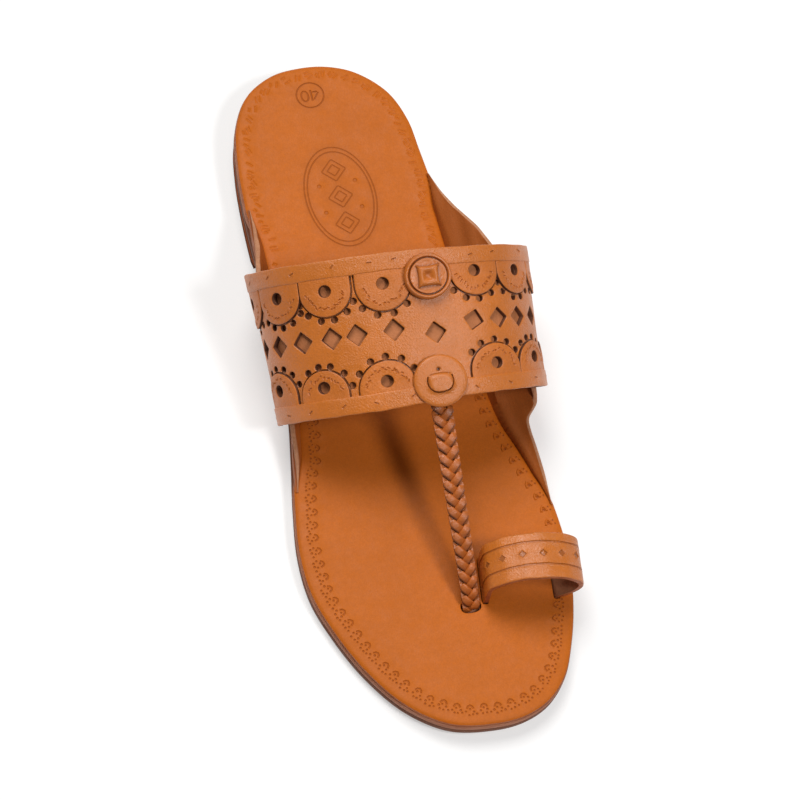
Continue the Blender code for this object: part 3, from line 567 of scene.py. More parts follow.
def grow(ring, reach):
    """The ring moved outwards by a reach, whichever way round it runs."""
    ring = np.asarray(ring, float)
    ahead, behind = np.roll(ring, -1, axis=0) - ring, ring - np.roll(ring, 1, axis=0)
    area = np.sum(ring[:, 0] * np.roll(ring[:, 1], -1) - np.roll(ring[:, 0], -1) * ring[:, 1])
    normals = []
    for run in (ahead, behind):
        run = run / np.maximum(np.linalg.norm(run, axis=1), 1e-12)[:, None]
        normals.append(np.stack([run[:, 1], -run[:, 0]], 1) * (1 if area > 0 else -1))
    middle = normals[0] + normals[1]
    middle /= np.maximum(np.linalg.norm(middle, axis=1), 1e-9)[:, None]
    stretch = 1 / np.maximum(np.sum(middle * normals[0], axis=1), 0.5)
    return ring + middle * (reach * stretch)[:, None]


def inside(ring, places):
    """Whether each place lies inside the ring."""
    x, y = places[:, 0], places[:, 1]
    found = np.zeros(len(places), bool)
    low, high = ring.min(0), ring.max(0)
    near = np.nonzero((x >= low[0]) & (x <= high[0]) & (y >= low[1]) & (y <= high[1]))[0]
    for (ax, ay), (bx, by) in zip(ring, np.roll(ring, -1, axis=0)):
        crosses = (ay > y[near]) != (by > y[near])
        hit = near[crosses]
        at = ax + (y[hit] - ay) / (by - ay) * (bx - ax)
        found[hit[x[hit] < at]] ^= True
    return found


def circle(centre, radius, count=16, squeeze=1.0):
    """Ring of points round a centre."""
    turns = full_turn(count)
    return np.stack([centre[0] + radius * np.cos(turns), centre[1] + radius * squeeze * np.sin(turns)], 1)


class Plate:
    """A flat piece of leather described by rings: its edges, its holes and the marks pressed in it."""

    def __init__(self, surface, shade_tint=None):
        self.surface, self.shade_tint = surface, shade_tint
        self.rings, self.drops, self.marks, self.walls, self.bounds = [], [], [], [], []

    def ring(self, places, drop=0.0, mark=0.0, wall=False):
        """A closed line of points at a depth under the face; mark darkens it, partly as pressed leather
        darkens and partly as painted shade in hollows.
        """
        self.rings.append(np.asarray(places, float))
        self.drops.append(drop)
        self.marks.append(mark)
        self.walls.append(wall)

    def edge(self, places, steps=CUT_EDGE):
        """Outer edge, rounded over."""
        for reach, drop in steps:
            self.ring(grow(places, -reach), drop)
        self.bounds.append(np.asarray(places, float))

    def hole(self, places):
        """A hole right through, with its rim rounded over; its rim is painted darker and its walls get the
        dark wall finish, both painted shade.
        """
        for reach, drop in PUNCHED_EDGE:
            self.ring(grow(places, reach), drop, 0.45 if reach == 0 else 0.0, reach == 0)
        self.bounds.append(np.asarray(places, float))

    def stamp(self, places, depth, slope=0.00022, lip=0.0, mark=0.50):
        """A mark pressed in, with leather pushed up round it if asked."""
        if lip:
            self.ring(grow(places, slope / 2 + 4 * lip), 0.0)
            self.ring(grow(places, slope / 2 + 1.5 * lip), -lip)
        # The slope and floor of the mark are darkened: partly pressed leather, partly painted shade in the
        # recess.
        self.ring(grow(places, slope / 2), 0.0, mark * 0.3)
        self.ring(grow(places, -slope / 2), depth, mark)

    def groove(self, places, width, depth):
        """A line pressed in along a ring."""
        # The groove is darker towards its bottom: partly pressed leather, partly painted shade.
        for reach, drop, mark in ((width, 0.0, 0.1), (width / 3, depth, 0.45),
                                  (-width / 3, depth, 0.45), (-width, 0.0, 0.1)):
            self.ring(grow(places, reach), drop, mark)

    def kept(self, places):
        """Whether there is leather at each place."""
        count = np.zeros(len(places), int)
        for ring in self.bounds:
            count += inside(ring, places)
        return count % 2 == 1

    def fill(self, pitch):
        """Staggered points over the leather, clear of the rings."""
        whole = np.concatenate(self.rings)
        low, high = whole.min(0), whole.max(0)
        rows = np.arange(low[1], high[1], pitch * 0.87)
        grid = [np.stack([np.arange(low[0] + (i % 2) * pitch / 2, high[0], pitch),
                          np.full(len(np.arange(low[0] + (i % 2) * pitch / 2, high[0], pitch)), y)], 1)
                for i, y in enumerate(rows)]
        grid = np.concatenate(grid)
        grid = grid[self.kept(grid)]
        clear = np.ones(len(grid), bool)
        for first in range(0, len(grid), 400):
            part = grid[first:first + 400]
            gaps = (part[:, None, 0] - whole[None, :, 0]) ** 2 + (part[:, None, 1] - whole[None, :, 1]) ** 2
            clear[first:first + 400] = gaps.min(1) > (0.5 * pitch) ** 2
        return grid[clear]

    def triangles(self, pitch):
        """Points, drops, marks and triangles of the face."""
        fill = self.fill(pitch)
        places = np.concatenate(self.rings + [fill])
        counts = [len(ring) for ring in self.rings]
        drops, marks, walls = (np.concatenate([np.repeat(np.array(part, float), counts), np.zeros(len(fill))])
                               for part in (self.drops, self.marks, self.walls))
        edges, first = [], 0
        for count in counts:
            edges += [(first + i, first + (i + 1) % count) for i in range(count)]
            first += count
        found = delaunay_2d_cdt([Vector(place / MM) for place in places], edges, [], 0, 1e-4)
        out = np.array([tuple(v) for v in found[0]]) * MM
        source = [(origin[0] if origin else int(((places - out[i]) ** 2).sum(1).argmin()))
                  for i, origin in enumerate(found[3])]
        faces = np.array([face for face in found[2] if len(face) == 3])
        faces = faces[self.kept(out[faces].mean(1))]
        return out, drops[source], marks[source], walls[source], faces

    def build(self, name, lay, back, pitch, materials):
        """A closed mesh. lay turns flat places and heights to world points; the materials are those
        of the face, the outer edge, the back and the walls of holes."""
        places, drops, marks, holed, faces = self.triangles(pitch)
        used = np.unique(faces)
        index = np.full(len(places), -1)
        index[used] = np.arange(len(used))
        places, drops, marks, holed, faces = places[used], drops[used], marks[used], holed[used], index[faces]
        # A tint adds painted shade over the face where asked.
        if self.shade_tint:
            marks = np.maximum(marks, self.shade_tint(places))
        count = len(used)
        top = lay(places, self.surface(places) - drops)
        bottom = lay(places, np.full(count, back))
        pairs = {}
        for a, b, c in faces:
            for edge in ((a, b), (b, c), (c, a)):
                pairs[edge] = True
        rim = [edge for edge in pairs if (edge[1], edge[0]) not in pairs]
        walls = [(b, a, a + count, b + count) for a, b in rim]
        polygons = [tuple(face) for face in faces] + [tuple(face[::-1] + count) for face in faces] + walls
        slots = [0] * len(faces) + [2] * len(faces) + [3 if holed[a] and holed[b] else 1 for a, b in rim]
        return add_mesh(name, np.concatenate([top, bottom]), polygons, slots, materials,
                        np.concatenate([marks, np.zeros(count)]))


def add_object(name, data):
    """An object of the scene with its data."""
    item = bpy.data.objects.new(name, data)
    bpy.context.scene.collection.objects.link(item)
    return item


def add_mesh(name, points, polygons, slots, materials, press_and_shade=None, sharp=38):
    """A mesh object that rides on the shoe."""
    mesh = bpy.data.meshes.new(name)
    mesh.from_pydata([tuple(point) for point in points], [], [tuple(int(i) for i in p) for p in polygons])
    for material in materials:
        mesh.materials.append(LEATHERS[material])
    mesh.polygons.foreach_set("material_index", slots)
    # Darkening carried at each point: painted shade in hollows and under strands, partly pressed leather
    carried = mesh.attributes.new("press_and_shade", "FLOAT", "POINT")
    carried.data.foreach_set("value", np.zeros(len(points)) if press_and_shade is None else np.asarray(press_and_shade, float))
    mesh.update()
    mesh.shade_smooth()
    mesh.set_sharp_from_angle(angle=radians(sharp))
    item = add_object(name, mesh)
    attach(item, "root")
    return item


def loft(name, rings, slots, materials, press_and_shade=None, sharp=38):
    """A skin through rings of points, capped at both ends; slots gives the material of each strip
    round the ring."""
    rings = np.asarray(rings, float)
    count, width = rings.shape[:2]
    polygons, kinds = [], []
    for i in range(count - 1):
        for j in range(width):
            a, b = i * width + j, i * width + (j + 1) % width
            polygons.append((a, b, b + width, a + width))
            kinds.append(slots[j])
    polygons += [tuple(range(width))[::-1], tuple(range((count - 1) * width, count * width))]
    kinds += [slots[0], slots[0]]
    return add_mesh(name, rings.reshape(-1, 3), polygons, kinds, materials,
                    None if press_and_shade is None else np.asarray(press_and_shade, float).reshape(-1), sharp)


def flip_if_inside_out(piece):
    """Turn all faces over if the mesh encloses a negative volume."""
    mesh = piece.data
    volume = 0.0
    for polygon in mesh.polygons:
        volume += Vector(polygon.center).dot(polygon.normal) * polygon.area
    if volume < 0:
        mesh.flip_normals()


def dress(piece, slot, *nodes):
    """Turn a piece right way out if it is inside out, and hide the solids that it stands for; slot is not
    used.
    """
    flip_if_inside_out(piece)
    if nodes:
        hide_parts(*nodes)


# ---------------------------------------------------------------- sole, heel and footbed

def ear_span(name):
    """Side of an ear and where its foot starts and ends along the shoe, rear then front."""
    side = 1 if name == "ear_medial" else -1
    rim = EAR_RIMS[name]
    return side, FORM.foot_y(side, rim[0][0] * BAND_LENGTH), FORM.foot_y(side, rim[-1][0] * BAND_LENGTH)


def ear_share(name, y):
    """How much of its full thickness an ear has at a place along the shoe."""
    _, rear, front = ear_span(name)
    return smooth_step((rear - y) / EAR_BLEND) * smooth_step((y - front) / EAR_BLEND)


def ear_room(outline):
    """How far a layer draws in at each point of its outline to let the ears pass."""
    depth = np.full(len(outline), FOOTBED_EDGE)
    for name in EAR_RIMS:
        beside = outline[:, 0] * ear_span(name)[0] > 0
        depth += np.where(beside, ear_share(name, outline[:, 1]) * (EAR_T + GAP - FOOTBED_EDGE), 0.0)
    return depth


def drawn_in(outline, depth):
    """The outline moved inwards by one depth, or by a depth for each point."""
    run = unit_rows(np.roll(outline, -1, axis=0) - np.roll(outline, 1, axis=0))
    return outline + np.stack([-run[:, 1], run[:, 0]], 1) * np.reshape(depth, (-1, 1))


def edge_gap(places, outline):
    """Distance from each place to the outline."""
    gap = np.empty(len(places))
    for first in range(0, len(places), 500):
        part = places[first:first + 500]
        gap[first:first + 500] = np.sqrt(((part[:, None] - outline[None]) ** 2).sum(2).min(1))
    return gap


def sole_layer(name, outline, base, top, profile, slots, materials, nodes=(), flat=False):
    """One layer of the sole. Profile rows are (distance in, share of the height), from below."""
    rings = []
    for depth, share in profile:
        ring = drawn_in(outline, depth)
        rise = np.zeros(len(ring)) if flat else lift(ring[:, 1])
        rings.append(np.column_stack([ring, rise + base + (top - base) * share]))
    count, width = len(rings), len(outline)
    points = np.concatenate(rings)
    polygons, kinds = [], []
    for i in range(count - 1):
        for j in range(width):
            k = (j + 1) % width
            polygons.append((i * width + k, i * width + j, (i + 1) * width + j, (i + 1) * width + k))
            kinds.append(slots[i])
    half = width // 2
    for ring, way, kind in ((0, 1, slots[-1]), (count - 1, -1, slots[-1])):
        for j in range(half):
            a, b = (-j) % width, (-j - 1) % width
            c, d = (j + 1) % width, j % width
            strip = [ring * width + k for k in dict.fromkeys((a, b, c, d))]
            if len(strip) > 2:
                polygons.append(strip[::way])
                kinds.append(kind)
    dress(add_mesh(name, points, polygons, kinds, materials, sharp=50), "sole_leather", *nodes)


def make_sole():
    """Bottom layer and middle layer of the sole."""
    low = ((0.0016, 0.0), (0.0007, 0.015), (0.00022, 0.08), (0.0, 0.24), (-0.00005, 0.60),
           (0.0, 0.88), (0.00012, 0.96), (0.0010, 1.0))
    sole_layer("outsole_bottom", OUTLINE, 0.0, BOTTOM_T, low, (0, 0, 0, 0, 0, 0, 0, 1),
               ("dark_edge", "tread"), ("outsole",))
    room = ear_room(OUTLINE) - FOOTBED_EDGE
    middle = drawn_in(OUTLINE, np.maximum(room, 0.0))
    mid = ((0.0012, 0.0), (0.00022, 0.03), (0.00002, 0.16), (-0.00005, 0.50), (0.00002, 0.84),
           (0.00022, 0.97), (0.0012, 1.0))
    sole_layer("outsole_middle", middle, BOTTOM_T + LAYER_SEAM, OUTSOLE_T + GAP - LAYER_SEAM, mid,
               (0, 0, 0, 0, 0, 0, 0), ("mauve_edge_and_sheen",))


def make_heel():
    """Three lifts under the seat."""
    inner = drawn_in(OUTLINE, HEEL_INSET)
    back = [point for point in inner if point[1] > HEEL_BREAST]
    split = max(range(len(back)), key=lambda i: np.linalg.norm(back[i] - back[i - 1]))
    back = back[split:] + back[:split]
    breast = [back[-1] + (back[0] - back[-1]) * u + np.array([0.0, BREAST_HOLLOW * sin(pi * u)])
              for u in np.linspace(0, 1, 24)[1:-1]]
    outline = np.array(back + breast)
    if np.sum(outline[:, 0] * np.roll(outline[:, 1], -1) - np.roll(outline[:, 0], -1) * outline[:, 1]) > 0:
        outline = outline[::-1]
    height = HEEL_LIFT / HEEL_LIFTS
    profile = ((0.0009, 0.0), (0.0002, 0.05), (0.0, 0.25), (0.0, 0.75), (0.0002, 0.95), (0.0009, 1.0))
    for i in range(HEEL_LIFTS):
        kind = "red_edge" if i == 1 else "dark_edge"
        sole_layer(f"heel_lift_{i + 1}", outline, i * height, (i + 1) * height - LIFT_SEAM, profile,
                   (0, 0, 0, 0, 0, 1), (kind, "tread"), ("heel",) if i == 0 else (), flat=True)


def slot_ring(centre, width, length, turn, corner=0.4):
    """A turned rounded slot."""
    turns = full_turn(20)
    x = np.sign(np.cos(turns)) * np.abs(np.cos(turns)) ** corner * width / 2
    y = np.sign(np.sin(turns)) * np.abs(np.sin(turns)) ** corner * length / 2
    return np.stack([centre[0] + x * cos(turn) - y * sin(turn),
                     centre[1] + x * sin(turn) + y * cos(turn)], 1)


def loop_leg(side):
    """Middle of a toe-loop leg where it passes the footbed."""
    reach = side * (LOOP_WIDTH / 2 - LOOP_T / 2) - (LOOP_TUCK if side > 0 else 0.0)
    return LOOP_ACROSS + reach * cos(LOOP_TURN), LOOP_ALONG + reach * sin(LOOP_TURN)


def stroke(places, width):
    """Outline of a bent line of some width."""
    places = np.asarray(places, float)
    run = unit_rows(np.gradient(places, axis=0))
    side = np.stack([-run[:, 1], run[:, 0]], 1) * width / 2
    return np.concatenate([places + side, (places - side)[::-1]])


# Marks stamped along the border of the footbed
# columns: across and along the border, inwards from its line, in metres
CRESCENT = ((-0.00115, 0.0005), (-0.00075, 0.0013), (0.0, 0.0017), (0.00075, 0.0013), (0.00115, 0.0005))
SEEDS = ((-0.0002, 0.0002), (-0.0014, -0.0008), (0.0013, -0.0006), (-0.0006, -0.0020), (0.0008, -0.0019),
         (0.0023, -0.0016))
SHELL = ((-0.00100, -0.0009), (-0.00075, 0.0003), (0.0, 0.0010), (0.00075, 0.0003), (0.00100, -0.0009))
BORDER_DEPTH = 0.0058
BORDER_PITCH = 0.0050
SHELL_DEPTH = 0.0042
SHELL_PITCH = 0.0054
SHELL_ALONG = (-0.073, 0.012)
TICKS = (((-0.0013, -0.0008), (-0.0009, 0.0), (-0.0002, 0.0009)),
         ((-0.0002, -0.0011), (0.0003, -0.0003), (0.0010, 0.0007)),
         ((0.0011, -0.0012), (0.0014, -0.0008), (0.0018, -0.0004)))
TICKS_TURN = 0.75
TICKS_MISSING = 0.25
TICKS_DEPTH = 0.0043
TICKS_PITCH = 0.0045
WAIST_ALONG = 0.014
LOOP_CLEAR = 0.0105


def along_border(line, pitch):
    """Evenly spaced places on the border line, with the way along it and the way in."""
    looped = np.vstack([line, line[:1]])
    arc = arc_lengths(looped)
    count = int(arc[-1] / pitch)
    for i in range(count):
        at = (i + 0.5) * arc[-1] / count
        here = np.array([np.interp(at, arc, looped[:, k]) for k in (0, 1)])
        ahead = np.array([np.interp(at + MM, arc, looped[:, k]) for k in (0, 1)])
        run = (ahead - here) / np.linalg.norm(ahead - here)
        yield here, run, np.array([-run[1], run[0]])


def beside_shells(here):
    """Whether a place on the border belongs to the row of shells on the big-toe side."""
    return here[0] > 0 and SHELL_ALONG[0] < here[1] < SHELL_ALONG[1]


def clear_of_loop(here):
    """Whether a stamp at a place keeps clear of the toe loop's slots."""
    return min(np.linalg.norm(here - np.array(loop_leg(side))) for side in (-1, 1)) > LOOP_CLEAR


def border_marks(plate, outline):
    """Crescents and seeds round the forefoot, shells by the arch, loose ticks round the heel."""
    for here, run, inward in along_border(drawn_in(outline, BORDER_DEPTH), BORDER_PITCH):
        if here[1] > WAIST_ALONG or beside_shells(here) or not clear_of_loop(here):
            continue
        here = here + RANDOM.uniform(-0.00025, 0.00025, 2)
        crescent = stroke([here + run * a + inward * b for a, b in CRESCENT], 0.00040)
        plate.stamp(crescent, 0.00028, 0.00020, 0.00007, 0.35)
        for a, b in SEEDS:
            spot = here + run * a + inward * b + RANDOM.uniform(-0.0002, 0.0002, 2)
            plate.stamp(circle(spot, RANDOM.uniform(0.00026, 0.00038), 7), 0.00028, 0.00016, 0.00005, 0.45)
    for here, run, inward in along_border(drawn_in(outline, SHELL_DEPTH), SHELL_PITCH):
        if not beside_shells(here) or not clear_of_loop(here):
            continue
        here = here + RANDOM.uniform(-0.00015, 0.00015, 2)
        heelward = 1.0 if run[1] > 0 else -1.0
        shell = np.array([here + run * heelward * b + inward * a for a, b in SHELL])
        ridge = stroke(shell, 0.00035)
        plate.ring(grow(ridge, 0.00030), 0.0)
        plate.ring(ridge, -0.00042)
        plate.stamp(circle(here - run * heelward * 0.00045, 0.00045, 9), 0.00036, 0.00020, 0.0, 0.42)
        for a, b in ((0.0019, 0.0004), (0.0024, -0.0010)):
            plate.stamp(circle(here - inward * a + run * b, 0.00030, 7), 0.00024, 0.00016, 0.00005)
    for here, run, inward in along_border(drawn_in(outline, TICKS_DEPTH), TICKS_PITCH):
        if here[1] < WAIST_ALONG + 0.002:
            continue
        turn = RANDOM.uniform(-TICKS_TURN, TICKS_TURN)
        here = here + inward * RANDOM.uniform(-0.0004, 0.0004)
        for tick in TICKS:
            if RANDOM.uniform() < TICKS_MISSING:
                continue
            marks = [here + run * (a * cos(turn) - b * sin(turn)) + inward * (a * sin(turn) + b * cos(turn))
                     for a, b in tick]
            plate.stamp(stroke(marks, 0.00018), 0.00012, 0.00016, 0.00018, 0.0)


# A plain lozenge stamp on the seat, in place of the maker's
SEAT_STAMP = (-0.0060, 0.0765)
STAMP_ACROSS = 0.0130
STAMP_ALONG = 0.0205


def seat_stamp(plate):
    """A doubled oval line round three lozenges and a few seeds."""
    centre = np.array(SEAT_STAMP)
    for share in (1.0, 0.91):
        plate.groove(circle(centre, STAMP_ACROSS * share, 60, STAMP_ALONG / STAMP_ACROSS), 0.00030, 0.00018)
    for along in (-0.0110, 0.0, 0.0110):
        for size in (0.0046, 0.0024):
            tips = [centre + (0.0, along) + size * np.array(corner) for corner in CORNERS]
            plate.groove(between_corners(tips, (0.06, 0.35, 0.65, 0.94)), 0.00028, 0.00018)
    for across, along in ((-0.0068, -0.0055), (0.0068, -0.0055), (-0.0068, 0.0055), (0.0068, 0.0055)):
        plate.stamp(circle(centre + (across, along), 0.0007, 12), 0.00020, 0.00020, 0.00005, 0.3)


NUMBER_PLACE = (-0.0072, 0.1194)
NUMBER_RING = 0.0051
NUMBER_SCALE = 1.25

# Strokes of the 4: places across and up from the number's centre, width and lip
FOUR = (
    (((-0.0004, -0.0016), (-0.0004, 0.0), (-0.0004, 0.0018)), 0.00050, 0.00005),
    (((-0.0010, 0.0015), (-0.0018, 0.0004), (-0.0026, -0.0006)), 0.00042, 0.0),
    (((-0.0023, -0.0009), (-0.0016, -0.0009), (-0.0009, -0.0009)), 0.00042, 0.0))


def size_number(plate):
    """The size, 40, in a ring, to be read from the heel."""
    centre = np.array(NUMBER_PLACE)
    plate.groove(circle(centre, NUMBER_RING, 44), 0.00032, 0.00026)

    def put(x, y):
        return centre - NUMBER_SCALE * np.array([x, y])

    for places, width, lip in FOUR:
        plate.stamp(stroke([put(*place) for place in places], width), 0.00028, 0.00020, lip)
    turns = full_turn(20)
    zero = np.array([put(0.0016 + 0.00105 * cos(a), 0.0001 + 0.0017 * sin(a)) for a in turns])
    plate.groove(zero, 0.00036, 0.00028)


# The footbed's face: how it falls to its edge, and the dish under the heel
EDGE_FALL = 0.00035
EDGE_FALL_REACH = 0.0060
DISH_DEPTH = 0.00045
DISH_PLACE = (-0.006, 0.098)
DISH_REACH = (0.020, 0.022)


def make_footbed():
    """The insole, stamped all round its border, with slots for the braid and the toe loop."""
    outline = drawn_in(OUTLINE, ear_room(OUTLINE))

    def surface(places):
        gap = edge_gap(places, outline)
        edge = EDGE_FALL * np.clip(1 - gap / EDGE_FALL_REACH, 0, 1) ** 2
        across, along = ((places[:, k] - DISH_PLACE[k]) / DISH_REACH[k] for k in (0, 1))
        dish = DISH_DEPTH * np.exp(-across ** 2 - along ** 2)
        return FOOTBED_T - edge - dish

    plate = Plate(surface)
    plate.edge(outline, SOLE_EDGE)
    plate.hole(slot_ring((POST_ACROSS, POST_ALONG), BRAID_TOE_WIDTH + 4 * GAP, BRAID_T + 8 * GAP, 0, 0.8))
    for side in (-1, 1):
        plate.hole(slot_ring(loop_leg(side), LOOP_T + 2 * GAP, LOOP_STRAP + 2 * GAP, LOOP_TURN, 0.3))
    border_marks(plate, outline)
    seat_stamp(plate)
    size_number(plate)

    def lay(places, height):
        return np.column_stack([places, lift(places[:, 1]) + OUTSOLE_T + GAP + height])

    piece = plate.build("footbed_top", lay, 0.0, FOOTBED_PITCH, ("footbed", "red_edge", "flesh", "punched"))
    dress(piece, "footbed_leather", "footbed")


# ---------------------------------------------------------------- ears

def make_ear(name):
    """A side flap: it rises from between the sole's layers and leans out under the band."""
    side = ear_span(name)[0]
    rows = closed_rim(np.array(EAR_RIMS[name]))
    rings = []
    for place, share in rows:
        t, rise = place * BAND_LENGTH, EAR_HEIGHT * share
        foot, y = FORM.foot(side, t), FORM.foot_y(side, t)
        edge = edge_x(side, y)
        whole = ear_share(name, y)
        sunk = (1 - whole) * 0.0006
        inner, outer = edge - side * (EAR_T * whole + GAP + sunk), edge - side * (GAP + sunk)
        climb = np.linspace(0.04, 1.0, EAR_CLIMBS)
        fold = 0.00022 * np.sin(climb * rise / 0.0021 + 1.7 * sin(t / 0.011)) * np.sin(pi * climb) ** 0.5
        fold += 0.00012 * np.sin(climb * rise / 0.0011 + 2.3 * sin(t / 0.017 + 1.0))
        thick = (EAR_T + (EAR_RIM_T - EAR_T) * climb) * (0.12 + 0.88 * whole)
        wall_out = FORM.point(foot - side * climb * rise, t, -EAR_SINK - sunk + 0.3 * fold * whole)
        wall_in = FORM.point(foot - side * climb * rise, t, -EAR_SINK - sunk - thick + fold * whole)
        wall_in[:, 2] = np.maximum(wall_in[:, 2], footbed_top(y) + 0.00005 * climb)
        crest = FORM.point(foot - side * (rise + EAR_RIM_T * 0.28 * whole), t,
                           -EAR_SINK - sunk - thick[-1] * np.array([0.22, 0.5, 0.78]))
        seat = lift(y) + OUTSOLE_T
        ring = [(inner - side * 0.001, y, seat - EAR_T), (outer, y, seat - EAR_T), (outer, y, footbed_top(y))]
        ring += [tuple(point) for point in wall_out]
        ring += [tuple(point) for point in crest]
        ring += [tuple(point) for point in wall_in[::-1]]
        ring += [(inner, y, footbed_top(y) - 0.0008), (inner - side * 0.001, y, seat)]
        rings.append(ring)
    slots = [0] * len(rings[0])
    slots[2 + EAR_CLIMBS:6 + EAR_CLIMBS] = [1] * 4
    piece = loft(name + "_skin", rings, slots, ("ear", "cut"), sharp=45)
    dress(piece, "ear_leather", name)


def closed_rim(rim):
    """The rim's height at many places, smoothed."""
    places = np.linspace(rim[0, 0], rim[-1, 0], 170)
    rises = np.interp(places, rim[:, 0], rim[:, 1])
    soft = np.convolve(np.pad(rises, 4, mode="edge"), np.hanning(9) / np.hanning(9).sum(), mode="valid")
    return list(zip(places, soft))


# ---------------------------------------------------------------- instep band

def band_end(side, t):
    """Where the band stops above the footbed."""
    return FORM.foot(side, t) - side * BAND_FOOT


def ripple(s, t):
    """Slight unevenness of hand-shaped leather."""
    return (0.00016 * np.sin(s / 0.0078 + 1.3 * np.sin(t / 0.013)) * np.sin(t / 0.0105 + 0.7)
            + 0.00010 * np.sin(s / 0.0041 + t / 0.0083))


def band_point(s, t, height):
    """World place of a point of the band's pattern, with its edges drawn off their straight lines."""
    share = t / BAND_LENGTH
    rear = np.clip((s - REAR_TAPER_SPAN[0]) / (REAR_TAPER_SPAN[1] - REAR_TAPER_SPAN[0]), 0, 1)
    front = smooth_step((s - FRONT_TAPER_SPAN[0]) / (FRONT_TAPER_SPAN[1] - FRONT_TAPER_SPAN[0]))
    shift = REAR_TAPER * rear * (1 - share) + (FRONT_BOW - (FRONT_BOW + FRONT_TAPER) * front) * share
    return FORM.point(s, t + shift, height + GAP / 2)


def on_form(places, height):
    """Flat pattern place to the world."""
    s, t = places[:, 0], places[:, 1]
    return band_point(s, t, height + ripple(s, t))


STRIP_POINTS = 190
STRIP_WAVE = 0.00012


def strip(low, high):
    """Outline of a strip right across the band."""
    along = np.linspace(low, high, 8)

    def edge(t, first, shift, second):
        start, end = band_end(-1, t), band_end(1, t)
        return [(start + (end - start) * u, t + STRIP_WAVE * sin(u * first + shift) * sin(u * second))
                for u in np.linspace(0, 1, STRIP_POINTS)]

    front, rear = edge(high, 31, 0, 83), edge(low, 27, 1, 71)
    right = [(band_end(1, t), t) for t in along[1:-1]]
    left = [(band_end(-1, t), t) for t in along[1:-1]]
    return np.array(rear + right + front[::-1] + left[::-1])


def scallops():
    """Each scallop: centre, radius, the way it opens (1 towards the toe) and its dots."""
    rows = [(row, 1) for row in REAR_SCALLOPS] + [(row, -1) for row in FRONT_SCALLOPS]
    return [(s * BAND_LENGTH, t * BAND_LENGTH, radius * BAND_LENGTH, way, dots)
            for (s, t, radius, dots), way in rows]


def scallop_hole(s, t, way):
    """Centre of the round hole in a scallop."""
    return s, (t if way > 0 else t - FRONT_HOLE_SHIFT)


def punch_dots():
    """Small punched holes in a ring outside each scallop."""
    for s, t, radius, way, dots in scallops():
        for turn in dots:
            reach = radius + DOT_CLEAR
            yield s + reach * sin(radians(turn)), t + way * reach * cos(radians(turn))


def diamond_rings():
    """Diamonds cut through the middle of the band, each a little out of true."""
    middle = BAND_LENGTH / 2
    rows = [(place, middle) for place in DIAMONDS] + [(0.0, middle + CENTRE_DIAMOND_SHIFT)]
    for place, t in rows:
        turn = LOOSE_DIAMOND_TURN if place == LOOSE_DIAMOND else RANDOM.uniform(-0.06, 0.06)
        s = place * DIAMOND_PITCH + DIAMOND_SHIFT
        tip = [np.array([s + a * DIAMOND_WIDTH / 2 * cos(turn) - b * DIAMOND_LENGTH / 2 * sin(turn),
                         t + a * DIAMOND_WIDTH / 2 * sin(turn) + b * DIAMOND_LENGTH / 2 * cos(turn)])
               for a, b in CORNERS]
        yield between_corners(tip, (0.04, 0.35, 0.65, 0.96))


def within_band(ring, margin=0.0012):
    """Whether a ring lies wholly on the band."""
    return all(band_end(-1, t) + margin < s < band_end(1, t) - margin for s, t in ring)


def lobe_gap(places):
    """Distance of each place outside the nearest scallop, negative within one."""
    gap = np.full(len(places), BAND_LENGTH)
    for s, t, radius, way, _ in scallops():
        ahead = way * (places[:, 1] - t)
        beside = np.abs(places[:, 0] - s)
        gap = np.minimum(gap, np.where(ahead > 0, np.hypot(beside, ahead), beside) - radius)
    return gap


LOBE_GAP_SLOPE = 0.00022


def band_sunk(places):
    """How far the band is cut down round and under the scallops, from 0 to 1, and not under the trims."""
    from_edge = np.minimum(places[:, 1], BAND_LENGTH - places[:, 1])
    near_lobe = smooth_step((LOBE_GAP + LOBE_GAP_SLOPE - lobe_gap(places)) / LOBE_GAP_SLOPE)
    return near_lobe * smooth_step((from_edge - 0.55 * TRIM) / (0.30 * TRIM))


def make_band():
    """The pierced band itself, cut down in a line round each scallop, with painted shade in that line."""
    # The second function paints shade into the sunk line round each scallop.
    plate = Plate(lambda places: BAND_T - LOBE_GAP_DEPTH * band_sunk(places),
                  lambda places: 0.7 * band_sunk(places))
    plate.edge(strip(0.0002, BAND_LENGTH - 0.0002))
    for ring in diamond_rings():
        if within_band(ring):
            plate.hole(ring)
    for s, t, radius, way, _ in scallops():
        for reach in (0.0, LOBE_GAP, LOBE_GAP + LOBE_GAP_SLOPE):
            plate.ring(grow(lobe_ring(s, t, radius, way), reach))
        ring = circle(scallop_hole(s, t, way), SCALLOP_HOLE * 1.03, 24)
        if within_band(ring):
            plate.hole(ring)
    for dot in punch_dots():
        ring = circle(dot, DOT_RADIUS, 14)
        if within_band(ring, 0.0008):
            plate.hole(ring)
    piece = plate.build("band", on_form, 0.0, BAND_PITCH, BAND_LEATHERS)
    dress(piece, "band_leather", "upper")


def make_lining():
    """The thin sheet glued under the band, seen at the bottom of its holes."""
    top = -0.1 * LINING_T
    plate = Plate(level(top))
    plate.edge(strip(0.03 * BAND_LENGTH, BAND_LENGTH - BRAID_HIDDEN), ((0.0, 0.0),))
    piece = plate.build("band_lining", on_form, top - LINING_T, LINING_PITCH,
                        ("lining", "lining", "flesh", "lining"))
    dress(piece, "band_leather")


def lobe_ring(s, t, radius, way):
    """Outline of one scallop."""
    root = TRIM * 0.6 if way > 0 else BAND_LENGTH - TRIM * 0.6
    turns = np.linspace(0, pi, 33)
    arc = [(s + radius * cos(a), t + way * radius * sin(a)) for a in turns]
    sides = np.linspace(root, t, 5)[:-1]
    right = [(s + radius, at) for at in sides]
    left = [(s - radius, at) for at in sides[::-1]]
    return np.array(right + arc + left)


